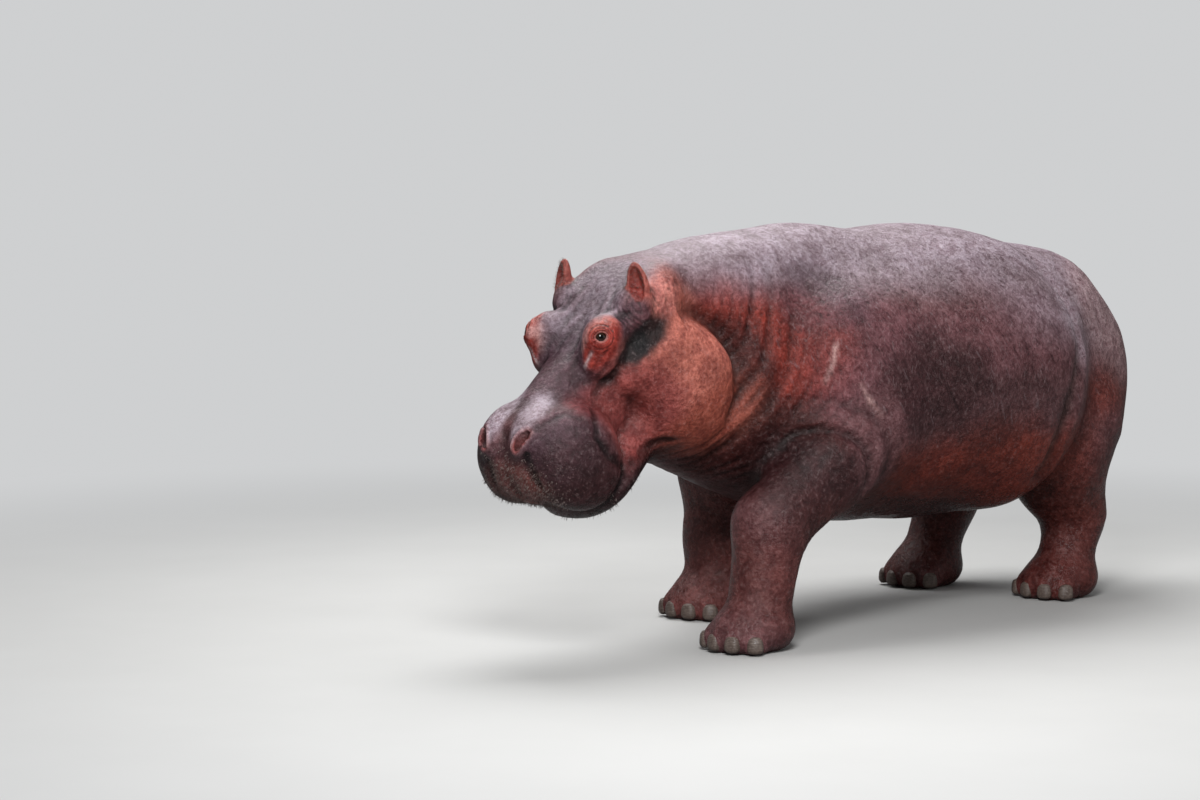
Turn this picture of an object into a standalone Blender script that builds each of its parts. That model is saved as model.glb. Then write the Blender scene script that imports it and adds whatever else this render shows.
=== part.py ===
"""A wading hippopotamus as a still, life-size model.

The flesh is one blended field of ellipsoid masses and tapered bones. It is meshed once,
then parted by thin cuts into head, neck, trunk, tail and four legs. Ears, eyes and nails
are bodies of their own, set into it with the same gap. Metres; the animal faces -X,
its left side is -Y and the floor is z = 0.
"""
import math

import bmesh
import bpy
import numpy as np
from mathutils import Matrix, Vector

# ------------------------------------------------------------------ driving dimensions
GAP = 0.0003                  # between neighbouring parts
FACE_CELL = 0.0152            # mesh size at the face, growing away from it
MESH_CENTRE = (-1.50, 0.0, 1.10)
MESH_GROWTH = 1.20            # distance over which the mesh size grows
FLESH_TRIANGLES = 3900         # left after thinning the flat stretches
BODY_LOW = (-2.05, -0.75, -0.05)
BODY_HIGH = (1.65, 0.75, 1.65)

HEAD_AT = (-1.36, 0.0, 1.33)  # the poll, just above the skin between the ears
HEAD_PITCH = 40.0             # degrees below level
EYE_RADIUS = 0.025
EYE_AT = (0.305, 0.167, 0.003)
EAR_LENGTH = 0.205            # with its root in the head
EAR_ROOT = (0.125, 0.203, -0.071)
EAR_SHELL = (0.040, 0.029, EAR_LENGTH / 2)      # half sizes: across, towards its opening, along
EAR_SHELL_AT = (0.0, 0.0, EAR_LENGTH * 0.50)
EAR_HOLLOW = (0.030, 0.034, EAR_LENGTH * 0.36)
EAR_HOLLOW_AT = (0.0, 0.027, EAR_LENGTH * 0.58)
FOOT_AHEAD = -0.03            # from the last joint of the leg, towards -X
FOOT_HEIGHT = 0.075
FOOT_RADII = (0.155, 0.145, 0.10)
TOES = 4
TOE_FAN = 28.0                # degrees between toes
TOE_REACH = 0.115
TOE_SPREAD = 0.132
TOE_HEIGHT = 0.046
TOE_RADII = (0.062, 0.045, 0.055)

# Masses: centre, radii, (pitch, yaw) in degrees, blend width. One whose second coordinate is
# above zero stands on both sides. Head masses are in the head's own axes: ahead, aside, above.
UPPER_HEAD = {
    "cranium": ((0.02, 0, -0.155), (0.23, 0.18, 0.165), (0, 0), 0.05),
    "poll": ((-0.01, 0.125, -0.078), (0.13, 0.075, 0.088), (0, 0), 0.07),
    "forehead": ((0.18, 0, -0.115), (0.17, 0.14, 0.085), (0, 0), 0.06),
    "bridge": ((0.42, 0, -0.17), (0.36, 0.115, 0.14), (-2, 0), 0.06),
    "snout": ((0.45, 0, -0.27), (0.30, 0.145, 0.15), (0, 0), 0.08),
    "muzzle": ((0.66, 0, -0.235), (0.17, 0.20, 0.175), (0, 0), 0.08),
    "lip_bulge": ((0.635, 0.145, -0.265), (0.175, 0.115, 0.185), (0, 0), 0.05),
    "nostril_mound": ((0.70, 0.085, -0.095), (0.10, 0.055, 0.055), (0, 0), 0.06),
    "cheek_arch": ((0.14, 0.165, -0.21), (0.19, 0.085, 0.10), (0, 0), 0.07),
    "brow": ((0.15, 0.120, -0.070), (0.15, 0.070, 0.055), (0, 0), 0.08),
    "eye_mound": ((0.265, 0.133, -0.042), (0.088, 0.070, 0.084), (0, 0), 0.03),
    "under_eye": ((0.330, 0.125, -0.085), (0.060, 0.050, 0.055), (0, 0), 0.05),
    "ear_root": ((0.0, 0.145, -0.09), (0.07, 0.065, 0.07), (0, 0), 0.05),
}
LOWER_HEAD = {
    "chin": ((0.55, 0, -0.45), (0.18, 0.20, 0.11), (0, 0), 0.05),
    "jaw": ((0.36, 0, -0.44), (0.28, 0.17, 0.13), (0, 0), 0.07),
    "cheek": ((0.09, 0.165, -0.40), (0.225, 0.135, 0.245), (0, 0), 0.07),
    "throat": ((0.12, 0, -0.48), (0.24, 0.16, 0.15), (0, 0), 0.07),
}
MOUTH_CORNER = 0.42           # ahead of it lip and jaw part, behind it they flow together
MOUTH_BLEND = 0.022
CHEEK_BLEND = 0.07
NOSTRIL = ((0.762, 0.092, -0.060), (0.043, 0.017, 0.036), (24, -27))
TRUNK = {
    "barrel": ((0.22, 0, 0.90), (0.88, 0.61, 0.55), (0, 0), 0.15),
    "flank": ((0.48, 0.27, 0.86), (0.36, 0.34, 0.46), (10, 0), 0.12),
    "chest": ((-0.36, 0, 0.91), (0.58, 0.44, 0.50), (0, 0), 0.20),
    "withers": ((-0.38, 0, 1.30), (0.28, 0.20, 0.195), (0, 0), 0.12),
    "loin": ((0.39, 0, 1.275), (0.62, 0.32, 0.17), (4, 0), 0.15),
    "croup": ((0.88, 0, 0.92), (0.51, 0.41, 0.42), (0, 0), 0.15),
    "hip": ((0.91, 0.17, 1.10), (0.25, 0.22, 0.245), (20, 0), 0.12),
    "shoulder": ((-0.42, 0.30, 0.88), (0.24, 0.17, 0.34), (-8, 0), 0.14),
    "thigh": ((0.95, 0.27, 0.76), (0.29, 0.19, 0.46), (14, 0), 0.05),
    "buttock": ((1.13, 0.16, 0.84), (0.205, 0.20, 0.33), (0, 0), 0.10),
    "neck_low": ((-0.80, 0, 0.97), (0.42, 0.305, 0.41), (-12, 0), 0.15),
    "neck_high": ((-1.08, 0, 1.00), (0.32, 0.210, 0.34), (-25, 0), 0.12),
    "nape": ((-0.86, 0, 1.285), (0.52, 0.20, 0.18), (-5, 0), 0.14),
}
# Leg joints from the shoulder or hip down: x, y, z, radius
LEGS = {
    "foreleg_left": ((-0.42, -0.33, 0.74, 0.21), (-0.62, -0.36, 0.63, 0.160),
                  (-0.92, -0.36, 0.44, 0.128), (-0.97, -0.35, 0.12, 0.115)),
    "foreleg_right": ((-0.40, 0.33, 0.72, 0.20), (-0.40, 0.33, 0.55, 0.165),
                   (-0.44, 0.33, 0.30, 0.118), (-0.46, 0.33, 0.12, 0.115)),
    "hindleg_left": ((0.94, -0.29, 0.70, 0.20), (0.88, -0.30, 0.55, 0.165),
                  (0.98, -0.30, 0.33, 0.115), (0.92, -0.30, 0.12, 0.11)),
    "hindleg_right": ((0.92, 0.29, 0.70, 0.20), (0.84, 0.30, 0.53, 0.165),
                   (0.92, 0.30, 0.33, 0.115), (0.82, 0.30, 0.12, 0.11)),
}
TAIL = ((1.30, 0.0, 1.08, 0.070), (1.435, 0.0, 0.93, 0.050), (1.475, 0.0, 0.74, 0.036),
        (1.475, 0.0, 0.56, 0.022))
# Creases: centre, radius and span in degrees of an arc seen from the side, width, depth
BODY_CREASES = {
    "elbow_fold": ((-0.70, 0.625), 0.140, (-45, 140), 0.024, 0.022),
    "elbow_sleeve": ((-0.70, 0.625), 0.190, (-40, 120), 0.035, -0.012),
    "elbow_fold_outer": ((-0.70, 0.625), 0.250, (-30, 110), 0.020, 0.008),
    "neck_fold_front": ((-1.90, 1.55), 1.06, (-56, -8), 0.024, 0.012),
    "neck_fold_middle": ((-1.90, 1.55), 1.14, (-56, -8), 0.024, 0.012),
    "neck_fold_back": ((-1.90, 1.55), 1.23, (-54, -12), 0.030, 0.012),
}
# Path of the fold behind the belly, seen from the side
FLANK_FOLD = ((0.66, 0.0, 1.40), (0.685, 0.0, 1.25), (0.70, 0.0, 1.12), (0.66, 0.0, 1.01),
              (0.59, 0.0, 0.91), (0.535, 0.0, 0.79), (0.505, 0.0, 0.66), (0.50, 0.0, 0.52))
FLANK_FOLD_WIDTH = 0.045
FLANK_FOLD_DEPTH = 0.035
JOWL_CREASE = ((0.13, -0.37), 0.245, (120, 262), 0.042, 0.050)
# Cuts. Legs: from x, to x, height of the box's top at the midline and its rise for each metre
# outwards. Head and neck: the lower back corner of the box of all that lies ahead of it, and its
# backward lean in degrees.
LEG_CUT_INNER = 0.13
LEG_CUT_OUTER = 0.80
LEG_CUT_FLOOR = -0.60
LEG_CUTS = {
    "foreleg_left": (-1.26, -0.30, 0.44, 0.86),
    "foreleg_right": (-0.75, -0.20, 0.34, 0.49),
    "hindleg_left": (0.60, 1.28, 0.40, 0.49),
    "hindleg_right": (0.55, 1.22, 0.40, 0.49),
}
NECK_CUTS = {
    "neck": (-0.64, 0.35, 8.0),
    "head": (-0.87, 0.56, 18.0),
}
NECK_CUT_BOX = ((-1.50, -0.60, 0.0), (0.0, 0.60, 1.40))
TAIL_CUT_BOX = ((1.405, -0.12, 0.40), (1.60, 0.12, 1.20))
NAIL_RADII = (0.020, 0.029, 0.032)
NAIL_REACH = 0.047            # ahead of the toe's centre
NAIL_DROP = 0.008             # below it

EYE_FACETS = (14, 8)          # segments and rings
EAR_FACETS = (14, 10)
HOLLOW_FACETS = (12, 8)
NAIL_FACETS = (8, 6)

HEAD_COLOUR = (0.125, 0.072, 0.066)
NECK_COLOUR = (0.160, 0.070, 0.060)
TRUNK_COLOUR = (0.150, 0.090, 0.085)
LEG_COLOUR = (0.105, 0.062, 0.058)
EAR_COLOUR = (0.270, 0.075, 0.055)
EYE_COLOUR = (0.020, 0.010, 0.006)
NAIL_COLOUR = (0.130, 0.100, 0.085)
SKIN_ROUGHNESS = 0.55
EYE_ROUGHNESS = 0.08
NAIL_ROUGHNESS = 0.45


# ------------------------------------------------------------------ fields of distance
def turn(pitch, yaw):
    """Rotation matrix: pitch about Y, then yaw about Z, in degrees."""
    p, w = math.radians(pitch), math.radians(yaw)
    about_y = np.array([[math.cos(p), 0, math.sin(p)], [0, 1, 0], [-math.sin(p), 0, math.cos(p)]])
    about_z = np.array([[math.cos(w), -math.sin(w), 0], [math.sin(w), math.cos(w), 0], [0, 0, 1]])
    return about_z @ about_y


def join(a, b, blend):
    """The nearer of two distances, rounded over where they meet."""
    h = np.maximum(blend - np.abs(a - b), 0.0) / blend
    return np.minimum(a, b) - h * h * blend * 0.25


def carve(a, b, blend):
    """Body a with body b taken out of it, the lip rounded."""
    return -join(-a, b, blend)


def ellipsoid(points, centre, radii, angles=(0, 0)):
    """Distance to an ellipsoid, near enough close to its surface."""
    local = (points - np.array(centre)) @ turn(*angles)
    near = np.sqrt(((local / radii) ** 2).sum(-1))
    slope = np.sqrt(((local / np.square(radii)) ** 2).sum(-1))
    return near * (near - 1.0) / np.maximum(slope, 1e-6)


def bone(points, start, end):
    """Distance to a tapered bone between two joints (x, y, z, radius)."""
    a, b = np.array(start[:3]), np.array(end[:3])
    along = np.clip(((points - a) @ (b - a)) / ((b - a) @ (b - a)), 0.0, 1.0)
    gap = points - a - along[:, None] * (b - a)
    return np.sqrt((gap ** 2).sum(-1)) - (start[3] + (end[3] - start[3]) * along)


def chain(points, joints, blend):
    """A limb of bones run together."""
    body = bone(points, joints[0], joints[1])
    for start, end in zip(joints[1:], joints[2:]):
        body = join(body, bone(points, start, end), blend)
    return body


def mirrored(points):
    """The same points with both sides laid on one, softly over the middle."""
    return np.stack([points[:, 0], np.hypot(points[:, 1], 0.015), points[:, 2]], axis=1)


def blended(masses, points):
    """All the masses of one table run together, in its order."""
    pair = mirrored(points)
    body = np.full(len(points), 10.0)
    for centre, radii, angles, blend in masses.values():
        body = join(body, ellipsoid(pair if centre[1] else points, centre, radii, angles), blend)
    return body


def crease(points, arc):
    """Depth of an arc-shaped crease on both flanks, fading to its ends and to the midline."""
    (x, z), radius, (first, last), width, depth = arc
    across, up = points[:, 0] - x, points[:, 2] - z
    angle = np.degrees(np.arctan2(up, across)) % 360.0
    angle = np.where(angle > (first + last) / 2 + 180.0, angle - 360.0, angle)
    along = np.clip((angle - first) / (last - first), 0.0, 1.0)
    fade = np.sin(np.pi * along) ** 0.7 * np.clip((np.abs(points[:, 1]) - 0.06) / 0.10, 0.0, 1.0)
    return depth * fade * np.exp(-((np.hypot(across, up) - radius) / width) ** 2)


def ease(share):
    """From 0 to 1 with level ends."""
    s = np.clip(share, 0.0, 1.0)
    return s * s * (3.0 - 2.0 * s)


def flank_fold(points):
    """Depth of the fold behind the belly, fading to its ends and to the midline."""
    side = points * [1, 0, 1]
    far = np.full(len(points), 10.0)
    for start, end in zip(FLANK_FOLD, FLANK_FOLD[1:]):
        far = np.minimum(far, bone(side, (*start, 0.0), (*end, 0.0)))
    fade = ease((1.44 - points[:, 2]) / 0.25) * ease((points[:, 2] - 0.40) / 0.15)
    fade = fade * ease((np.abs(points[:, 1]) - 0.10) / 0.15)
    return FLANK_FOLD_DEPTH * fade * np.exp(-(far / FLANK_FOLD_WIDTH) ** 2)


def head_axes():
    """Rows: ahead, aside (to the animal's left) and above."""
    p = math.radians(HEAD_PITCH)
    return np.array([[-math.cos(p), 0, -math.sin(p)], [0, -1, 0], [-math.sin(p), 0, math.cos(p)]])


def to_head(points):
    """Points in the head's own axes."""
    return (points - np.array(HEAD_AT)) @ head_axes().T


def from_head(places):
    """Places in the head's axes, back in the world."""
    return np.array(places) @ head_axes() + np.array(HEAD_AT)


def head(points):
    """Head: upper and lower masses, parted by the mouth ahead of its corner, with nostrils."""
    q = to_head(points)
    blend = MOUTH_BLEND + (CHEEK_BLEND - MOUTH_BLEND) * ease((MOUTH_CORNER - q[:, 0]) / 0.16)
    body = join(blended(UPPER_HEAD, q), blended(LOWER_HEAD, q), blend)
    return carve(body, ellipsoid(mirrored(q), *NOSTRIL), 0.012)


def foot(points, x, y):
    """A low round foot with its fan of blunt toes."""
    body = ellipsoid(points, (x + FOOT_AHEAD, y, FOOT_HEIGHT), FOOT_RADII)
    for toe in toe_places(x, y):
        body = join(body, ellipsoid(points, toe, TOE_RADII), 0.02)
    return body


def toe_fans():
    """Turn of each toe from straight ahead, in radians."""
    return [math.radians(TOE_FAN * (k - (TOES - 1) / 2)) for k in range(TOES)]


def toe_places(x, y):
    """Centres of the toes of the foot below a point."""
    return [(x + FOOT_AHEAD - TOE_REACH * math.cos(a), y + TOE_SPREAD * math.sin(a), TOE_HEIGHT)
            for a in toe_fans()]


def leg(points, joints):
    """A leg from its joints, with the foot at the last one."""
    return join(chain(points, joints, 0.06), foot(points, joints[-1][0], joints[-1][1]), 0.05)


def flesh(points):
    """The whole animal but its ears and the flats of its soles."""
    body = blended(TRUNK, points)
    for joints in LEGS.values():
        body = join(body, leg(points, joints), 0.09)
    for arc in BODY_CREASES.values():
        body = body + crease(points, arc)
    body = join(body + flank_fold(points), head(points), 0.08)
    body = body + crease(to_head(points), JOWL_CREASE)
    return join(body, chain(points, TAIL, 0.03), 0.05)


def ear_axes(side):
    """Rows of the ear's own axes: across, towards its opening, along. side is 1 for left."""
    along = Vector((-0.085, 0.17 * side, 0.98)).normalized()
    opening = Vector((-0.93, -0.40 * side, 0.0))
    opening = (opening - along * opening.dot(along)).normalized()
    return np.array([opening.cross(along), opening, along])


# ------------------------------------------------------------------ meshing a field
def spread(steps, centre, cell, growth):
    """Grid steps to places, the cells growing away from the centre."""
    reach = np.sqrt((steps * steps).sum(-1, keepdims=True)) * cell
    return np.array(centre) + cell * steps * np.sqrt(1.0 + (reach / growth) ** 2)


def steps_to(distance, cell, growth):
    """How many grid steps a distance from the centre takes: the inverse of spread."""
    ratio = distance / growth
    return growth / cell * math.sqrt((math.sqrt(1.0 + 4.0 * ratio * ratio) - 1.0) / 2.0)


def surface_cells(inside):
    """Grid cells that the surface passes through."""
    count = np.zeros(np.array(inside.shape) - 1, np.int8)
    for dx, dy, dz in np.ndindex(2, 2, 2):
        count += inside[dx:count.shape[0] + dx, dy:count.shape[1] + dy, dz:count.shape[2] + dz]
    return np.argwhere((count > 0) & (count < 8))


def surface_net(values):
    """One point in each crossed cell, at the mean of its edge crossings, and the quads."""
    inside = values < 0
    cells = surface_cells(inside)
    index = np.full(np.array(values.shape) - 1, -1)
    index[tuple(cells.T)] = np.arange(len(cells))
    total = np.zeros((len(cells), 3))
    hits = np.zeros(len(cells))
    quads = []
    for axis in range(3):
        step = np.eye(3, dtype=int)[axis]
        beside = [np.eye(3, dtype=int)[(axis + k) % 3] for k in (1, 2)]
        for first, second in np.ndindex(2, 2):
            start = cells + first * beside[0] + second * beside[1]
            near, far = values[tuple(start.T)], values[tuple((start + step).T)]
            crossed = (near < 0) != (far < 0)
            share = near[crossed] / (near[crossed] - far[crossed])
            total[crossed] += start[crossed] + share[:, None] * step
            hits += crossed
        low = tuple(slice(0, -1) if k == axis else slice(1, -1) for k in range(3))
        high = tuple(slice(1, None) if k == axis else slice(1, -1) for k in range(3))
        edge = np.argwhere(inside[low] != inside[high]) + (1 - step)
        leaving = inside[tuple(edge.T)]
        ring = np.stack([index[tuple((edge - a * beside[0] - b * beside[1]).T)]
                         for a, b in ((1, 1), (0, 1), (0, 0), (1, 0))], axis=1)
        ring[~leaving] = ring[~leaving][:, ::-1]
        quads.append(ring)
    return total / hits[:, None], np.concatenate(quads)


def settle(field, points, rounds):
    """Points moved onto the field's surface along its slope."""
    for _ in range(rounds):
        value = field(points)
        slope = np.stack([field(points + 1e-3 * axis) - value for axis in np.eye(3)], -1) / 1e-3
        share = np.clip(value / np.maximum((slope ** 2).sum(-1), 0.05), -0.02, 0.02)
        points = points - share[:, None] * slope
    return points


def net_of(field, low, high, centre, cell, growth, block=4):
    """Points and quads of a field's surface, sampled finely only in blocks near it."""
    low, high, centre = np.array(low), np.array(high), np.array(centre)
    first = -np.array([math.ceil(steps_to(d, cell, growth)) for d in centre - low])
    last = np.array([math.ceil(steps_to(d, cell, growth)) for d in high - centre])
    blocks = (last - first) // block + 1

    def place(steps):
        return spread(steps + first, centre, cell, growth)

    grid = np.stack(np.meshgrid(*[np.arange(n + 1) * block for n in blocks], indexing="ij"), -1)
    corner = grid.reshape(-1, 3).astype(float)
    coarse = field(place(corner))
    size = np.linalg.norm(place(corner + block) - place(corner), axis=1)
    near = (np.abs(coarse) < size).reshape(grid.shape[:3])
    for axis in range(3):
        near |= np.roll(near, -1, axis=axis)
    values = np.kron(coarse.reshape(grid.shape[:3]), np.ones((block,) * 3))
    fine = np.argwhere(np.kron(near, np.ones((block,) * 3)) > 0)
    values[tuple(fine.T)] = field(place(fine.astype(float)))
    points, quads = surface_net(values)
    return settle(field, place(points), 3), quads


# ------------------------------------------------------------------ objects
def material(name, colour, roughness):
    """A plain Principled material; colour is linear RGB."""
    made = bpy.data.materials.new(name)
    made.use_nodes = True
    shader = made.node_tree.nodes["Principled BSDF"]
    shader.inputs["Base Color"].default_value = (*colour, 1.0)
    shader.inputs["Roughness"].default_value = roughness
    shader.inputs["Metallic"].default_value = 0.0
    made.diffuse_color = (*colour, 1.0)
    return made


def add_object(name, mesh, paint=None):
    """An object of a mesh, linked to the scene, with its material."""
    made = bpy.data.objects.new(name, mesh)
    bpy.context.scene.collection.objects.link(made)
    if paint:
        mesh.materials.clear()
        mesh.materials.append(paint)
    return made


def thinned(name, points, quads, triangles):
    """A mesh of the quads, its flat stretches collapsed to a number of triangles."""
    mesh = bpy.data.meshes.new(name + "_net")
    mesh.from_pydata(points.tolist(), [], quads.tolist())
    source = add_object(name + "_net", mesh)
    thin = source.modifiers.new("thin", "DECIMATE")
    thin.ratio = triangles / (2.0 * len(quads))
    thin.use_collapse_triangulate = True
    graph = bpy.context.evaluated_depsgraph_get()
    made = bpy.data.meshes.new_from_object(source.evaluated_get(graph))
    bpy.data.objects.remove(source)
    made.name = name
    return made


def flatten_soles(mesh):
    """Cuts off all that is below the floor and closes the flats."""
    shape = bmesh.new()
    shape.from_mesh(mesh)
    bmesh.ops.bisect_plane(shape, geom=[*shape.verts, *shape.edges, *shape.faces],
                           plane_co=(0, 0, 0), plane_no=(0, 0, 1), clear_inner=True)
    bmesh.ops.holes_fill(shape, edges=[e for e in shape.edges if e.is_boundary])
    shape.to_mesh(mesh)
    shape.free()


def as_cutter(cutter):
    """Hides a cutter from renders and draws it as a wire."""
    cutter.hide_render = True
    cutter.display_type = "WIRE"
    return cutter


def box_cutter(name, low, high, placed, grow):
    """A box between two corners in the frame of a matrix, grown outwards."""
    size = Vector(high) - Vector(low) + Vector((2 * grow,) * 3)
    centre = (Vector(high) + Vector(low)) / 2
    shape = bmesh.new()
    bmesh.ops.create_cube(shape, size=1.0, matrix=placed @ Matrix.Translation(centre)
                          @ Matrix.Diagonal((*size, 1.0)))
    mesh = bpy.data.meshes.new(name)
    shape.to_mesh(mesh)
    shape.free()
    return as_cutter(add_object(name, mesh))


def ball_mesh(name, radius, placed, segments, rings):
    """A UV sphere in the frame of a matrix."""
    shape = bmesh.new()
    bmesh.ops.create_uvsphere(shape, u_segments=segments, v_segments=rings, radius=radius,
                              matrix=placed)
    mesh = bpy.data.meshes.new(name)
    shape.to_mesh(mesh)
    shape.free()
    return mesh


def cut(body, operation, cutter):
    """An exact Boolean modifier on a body."""
    step = body.modifiers.new(cutter.name, "BOOLEAN")
    step.operation = operation
    step.solver = "EXACT"
    step.object = cutter


def head_matrix():
    """Placement of the head's axes: ahead, aside, above."""
    rows = Matrix(head_axes().tolist())
    return Matrix.Translation(HEAD_AT) @ rows.transposed().to_4x4()


def ear_matrix(side, place, half_sizes):
    """Placement of the unit ball that becomes an ear's shell or its hollow."""
    root = from_head((EAR_ROOT[0], EAR_ROOT[1] * side, EAR_ROOT[2]))
    turned = Matrix(ear_axes(side).tolist()).transposed().to_4x4()
    return (Matrix.Translation(root) @ turned @ Matrix.Translation(place)
            @ Matrix.Diagonal((*half_sizes, 1.0)))


def leg_matrix(side, rise):
    """Frame of a leg's box, sheared so that its top rises outwards."""
    sheared = Matrix.Identity(4)
    sheared[2][1] = -side * rise
    return sheared


def regions(label, grow):
    """The boxes that part the flesh, by name, grown by a gap or not."""
    boxes = {}
    for name, (first, last, top, rise) in LEG_CUTS.items():
        side = 1 if name.endswith("left") else -1
        low_y, high_y = sorted((-side * LEG_CUT_INNER, -side * LEG_CUT_OUTER))
        boxes[name] = box_cutter(f"{name}_{label}", (first, low_y, LEG_CUT_FLOOR), (last, high_y, top),
                                 leg_matrix(side, rise), grow)
    for name, (x, z, lean) in NECK_CUTS.items():
        placed = Matrix.Translation((x, 0, z)) @ Matrix.Rotation(math.radians(-lean), 4, "Y")
        boxes[name] = box_cutter(f"{name}_{label}", *NECK_CUT_BOX, placed, grow)
    boxes["tail"] = box_cutter("tail_" + label, *TAIL_CUT_BOX, Matrix.Identity(4), grow)
    return boxes


def flesh_part(name, kept, taken, colour):
    """A node of the flesh: what lies in one box, less what lies in others."""
    part = add_object(name, flesh_mesh.copy(), material(name + "_skin", colour, SKIN_ROUGHNESS))
    if kept:
        cut(part, "INTERSECT", inner[kept])
    for region in taken:
        cut(part, "DIFFERENCE", outer[region])
    return part


def flesh_skin_cutter():
    """The flesh grown by the gap, for what stands on it."""
    grown = flesh_mesh.copy()
    normals = [vertex.normal.copy() for vertex in flesh_mesh.vertices]
    for vertex, normal in zip(grown.vertices, normals):
        vertex.co += normal * GAP
    return as_cutter(add_object("flesh_cutter", grown))


def make_ear(side, label):
    """A cupped ear that stands on the head."""
    shell = ball_mesh("ear_" + label, 1.0, ear_matrix(side, EAR_SHELL_AT, EAR_SHELL), *EAR_FACETS)
    hollow = ball_mesh("ear_hollow_" + label, 1.0, ear_matrix(side, EAR_HOLLOW_AT, EAR_HOLLOW),
                       *HOLLOW_FACETS)
    made = add_object("ear_" + label, shell, material(f"ear_{label}_skin", EAR_COLOUR, SKIN_ROUGHNESS))
    cut(made, "DIFFERENCE", as_cutter(add_object("ear_hollow_" + label, hollow)))
    cut(made, "DIFFERENCE", skin_cutter)


def make_eye(side, label):
    """An eyeball in its socket in the head."""
    placed = head_matrix() @ Matrix.Translation((EYE_AT[0], EYE_AT[1] * side, EYE_AT[2]))
    ball = ball_mesh("eye_" + label, EYE_RADIUS, placed, *EYE_FACETS)
    add_object("eye_" + label, ball, material(f"eye_{label}_gloss", EYE_COLOUR, EYE_ROUGHNESS))
    socket = ball_mesh("eye_socket_" + label, EYE_RADIUS + GAP, placed, *EYE_FACETS)
    cut(parts["head"], "DIFFERENCE", as_cutter(add_object("eye_socket_" + label, socket)))


def nail_matrix(toe, fan, grow):
    """Placement of the unit ball that becomes a nail on the front of a toe."""
    ahead = Vector((-math.cos(fan), math.sin(fan), 0.0))
    place = Vector(toe) + ahead * NAIL_REACH - Vector((0, 0, NAIL_DROP))
    sizes = [radius + grow for radius in NAIL_RADII]
    return Matrix.Translation(place) @ Matrix.Rotation(-fan, 4, "Z") @ Matrix.Diagonal((*sizes, 1.0))


def make_nails(leg_name, joints):
    """A nail on each toe of a foot, sunk into it."""
    for number, (fan, toe) in enumerate(zip(toe_fans(), toe_places(joints[-1][0], joints[-1][1])), 1):
        label = f"nail_{leg_name}_{number}"
        nail = ball_mesh(label, 1.0, nail_matrix(toe, fan, 0.0), *NAIL_FACETS)
        add_object(label, nail, material(label + "_horn", NAIL_COLOUR, NAIL_ROUGHNESS))
        pit = ball_mesh(label + "_pit", 1.0, nail_matrix(toe, fan, GAP), *NAIL_FACETS)
        cut(parts[leg_name], "DIFFERENCE", as_cutter(add_object(label + "_pit", pit)))


def centre_on_empty():
    """Hangs everything on one empty, so that the origin is under the middle of the body's box."""
    places = np.array([vertex.co for vertex in flesh_mesh.vertices])
    middle = (places.min(axis=0) + places.max(axis=0)) / 2
    stand = bpy.data.objects.new("standing_point", None)
    stand.location = (-middle[0], -middle[1], 0.0)
    for piece in bpy.context.scene.objects:
        piece.parent = stand
    bpy.context.scene.collection.objects.link(stand)


# ------------------------------------------------------------------ the animal
for old in list(bpy.data.objects):
    bpy.data.objects.remove(old)

flesh_points, flesh_quads = net_of(flesh, BODY_LOW, BODY_HIGH, MESH_CENTRE, FACE_CELL, MESH_GROWTH)
flesh_mesh = thinned("flesh", flesh_points, flesh_quads, FLESH_TRIANGLES)
flatten_soles(flesh_mesh)
inner = regions("inner", 0.0)
outer = regions("outer", GAP)
skin_cutter = flesh_skin_cutter()

parts = {
    "trunk": flesh_part("trunk", None, ["neck", "tail", *LEGS], TRUNK_COLOUR),
    "neck": flesh_part("neck", "neck", ["head", "foreleg_left"], NECK_COLOUR),
    "head": flesh_part("head", "head", ["foreleg_left"], HEAD_COLOUR),
    "tail": flesh_part("tail", "tail", [], LEG_COLOUR),
}
for leg_name, leg_joints in LEGS.items():
    parts[leg_name] = flesh_part(leg_name, leg_name, [], LEG_COLOUR)
    make_nails(leg_name, leg_joints)
for ear_side, side_label in ((1, "left"), (-1, "right")):
    make_ear(ear_side, side_label)
    make_eye(ear_side, side_label)
centre_on_empty()
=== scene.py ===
# %% [markdown]
# # A wading hippopotamus, as a still life-size model
#
# The imported model holds the animal as plain solids: head, neck, trunk, tail, legs, ears, eyes
# and nails. This lesson gives it its looks: one skin without a seam over all the flesh, real
# lids round the eyes, polished horn on the toes, bristles on the muzzle, in the ears and on the
# tail, and the colours of a hide that is slate on the back and brick red on the cheeks, with a
# painted sheen on the back, painted highlights and painted shade in its hollows.

# %% Load the imported model
import math

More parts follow.
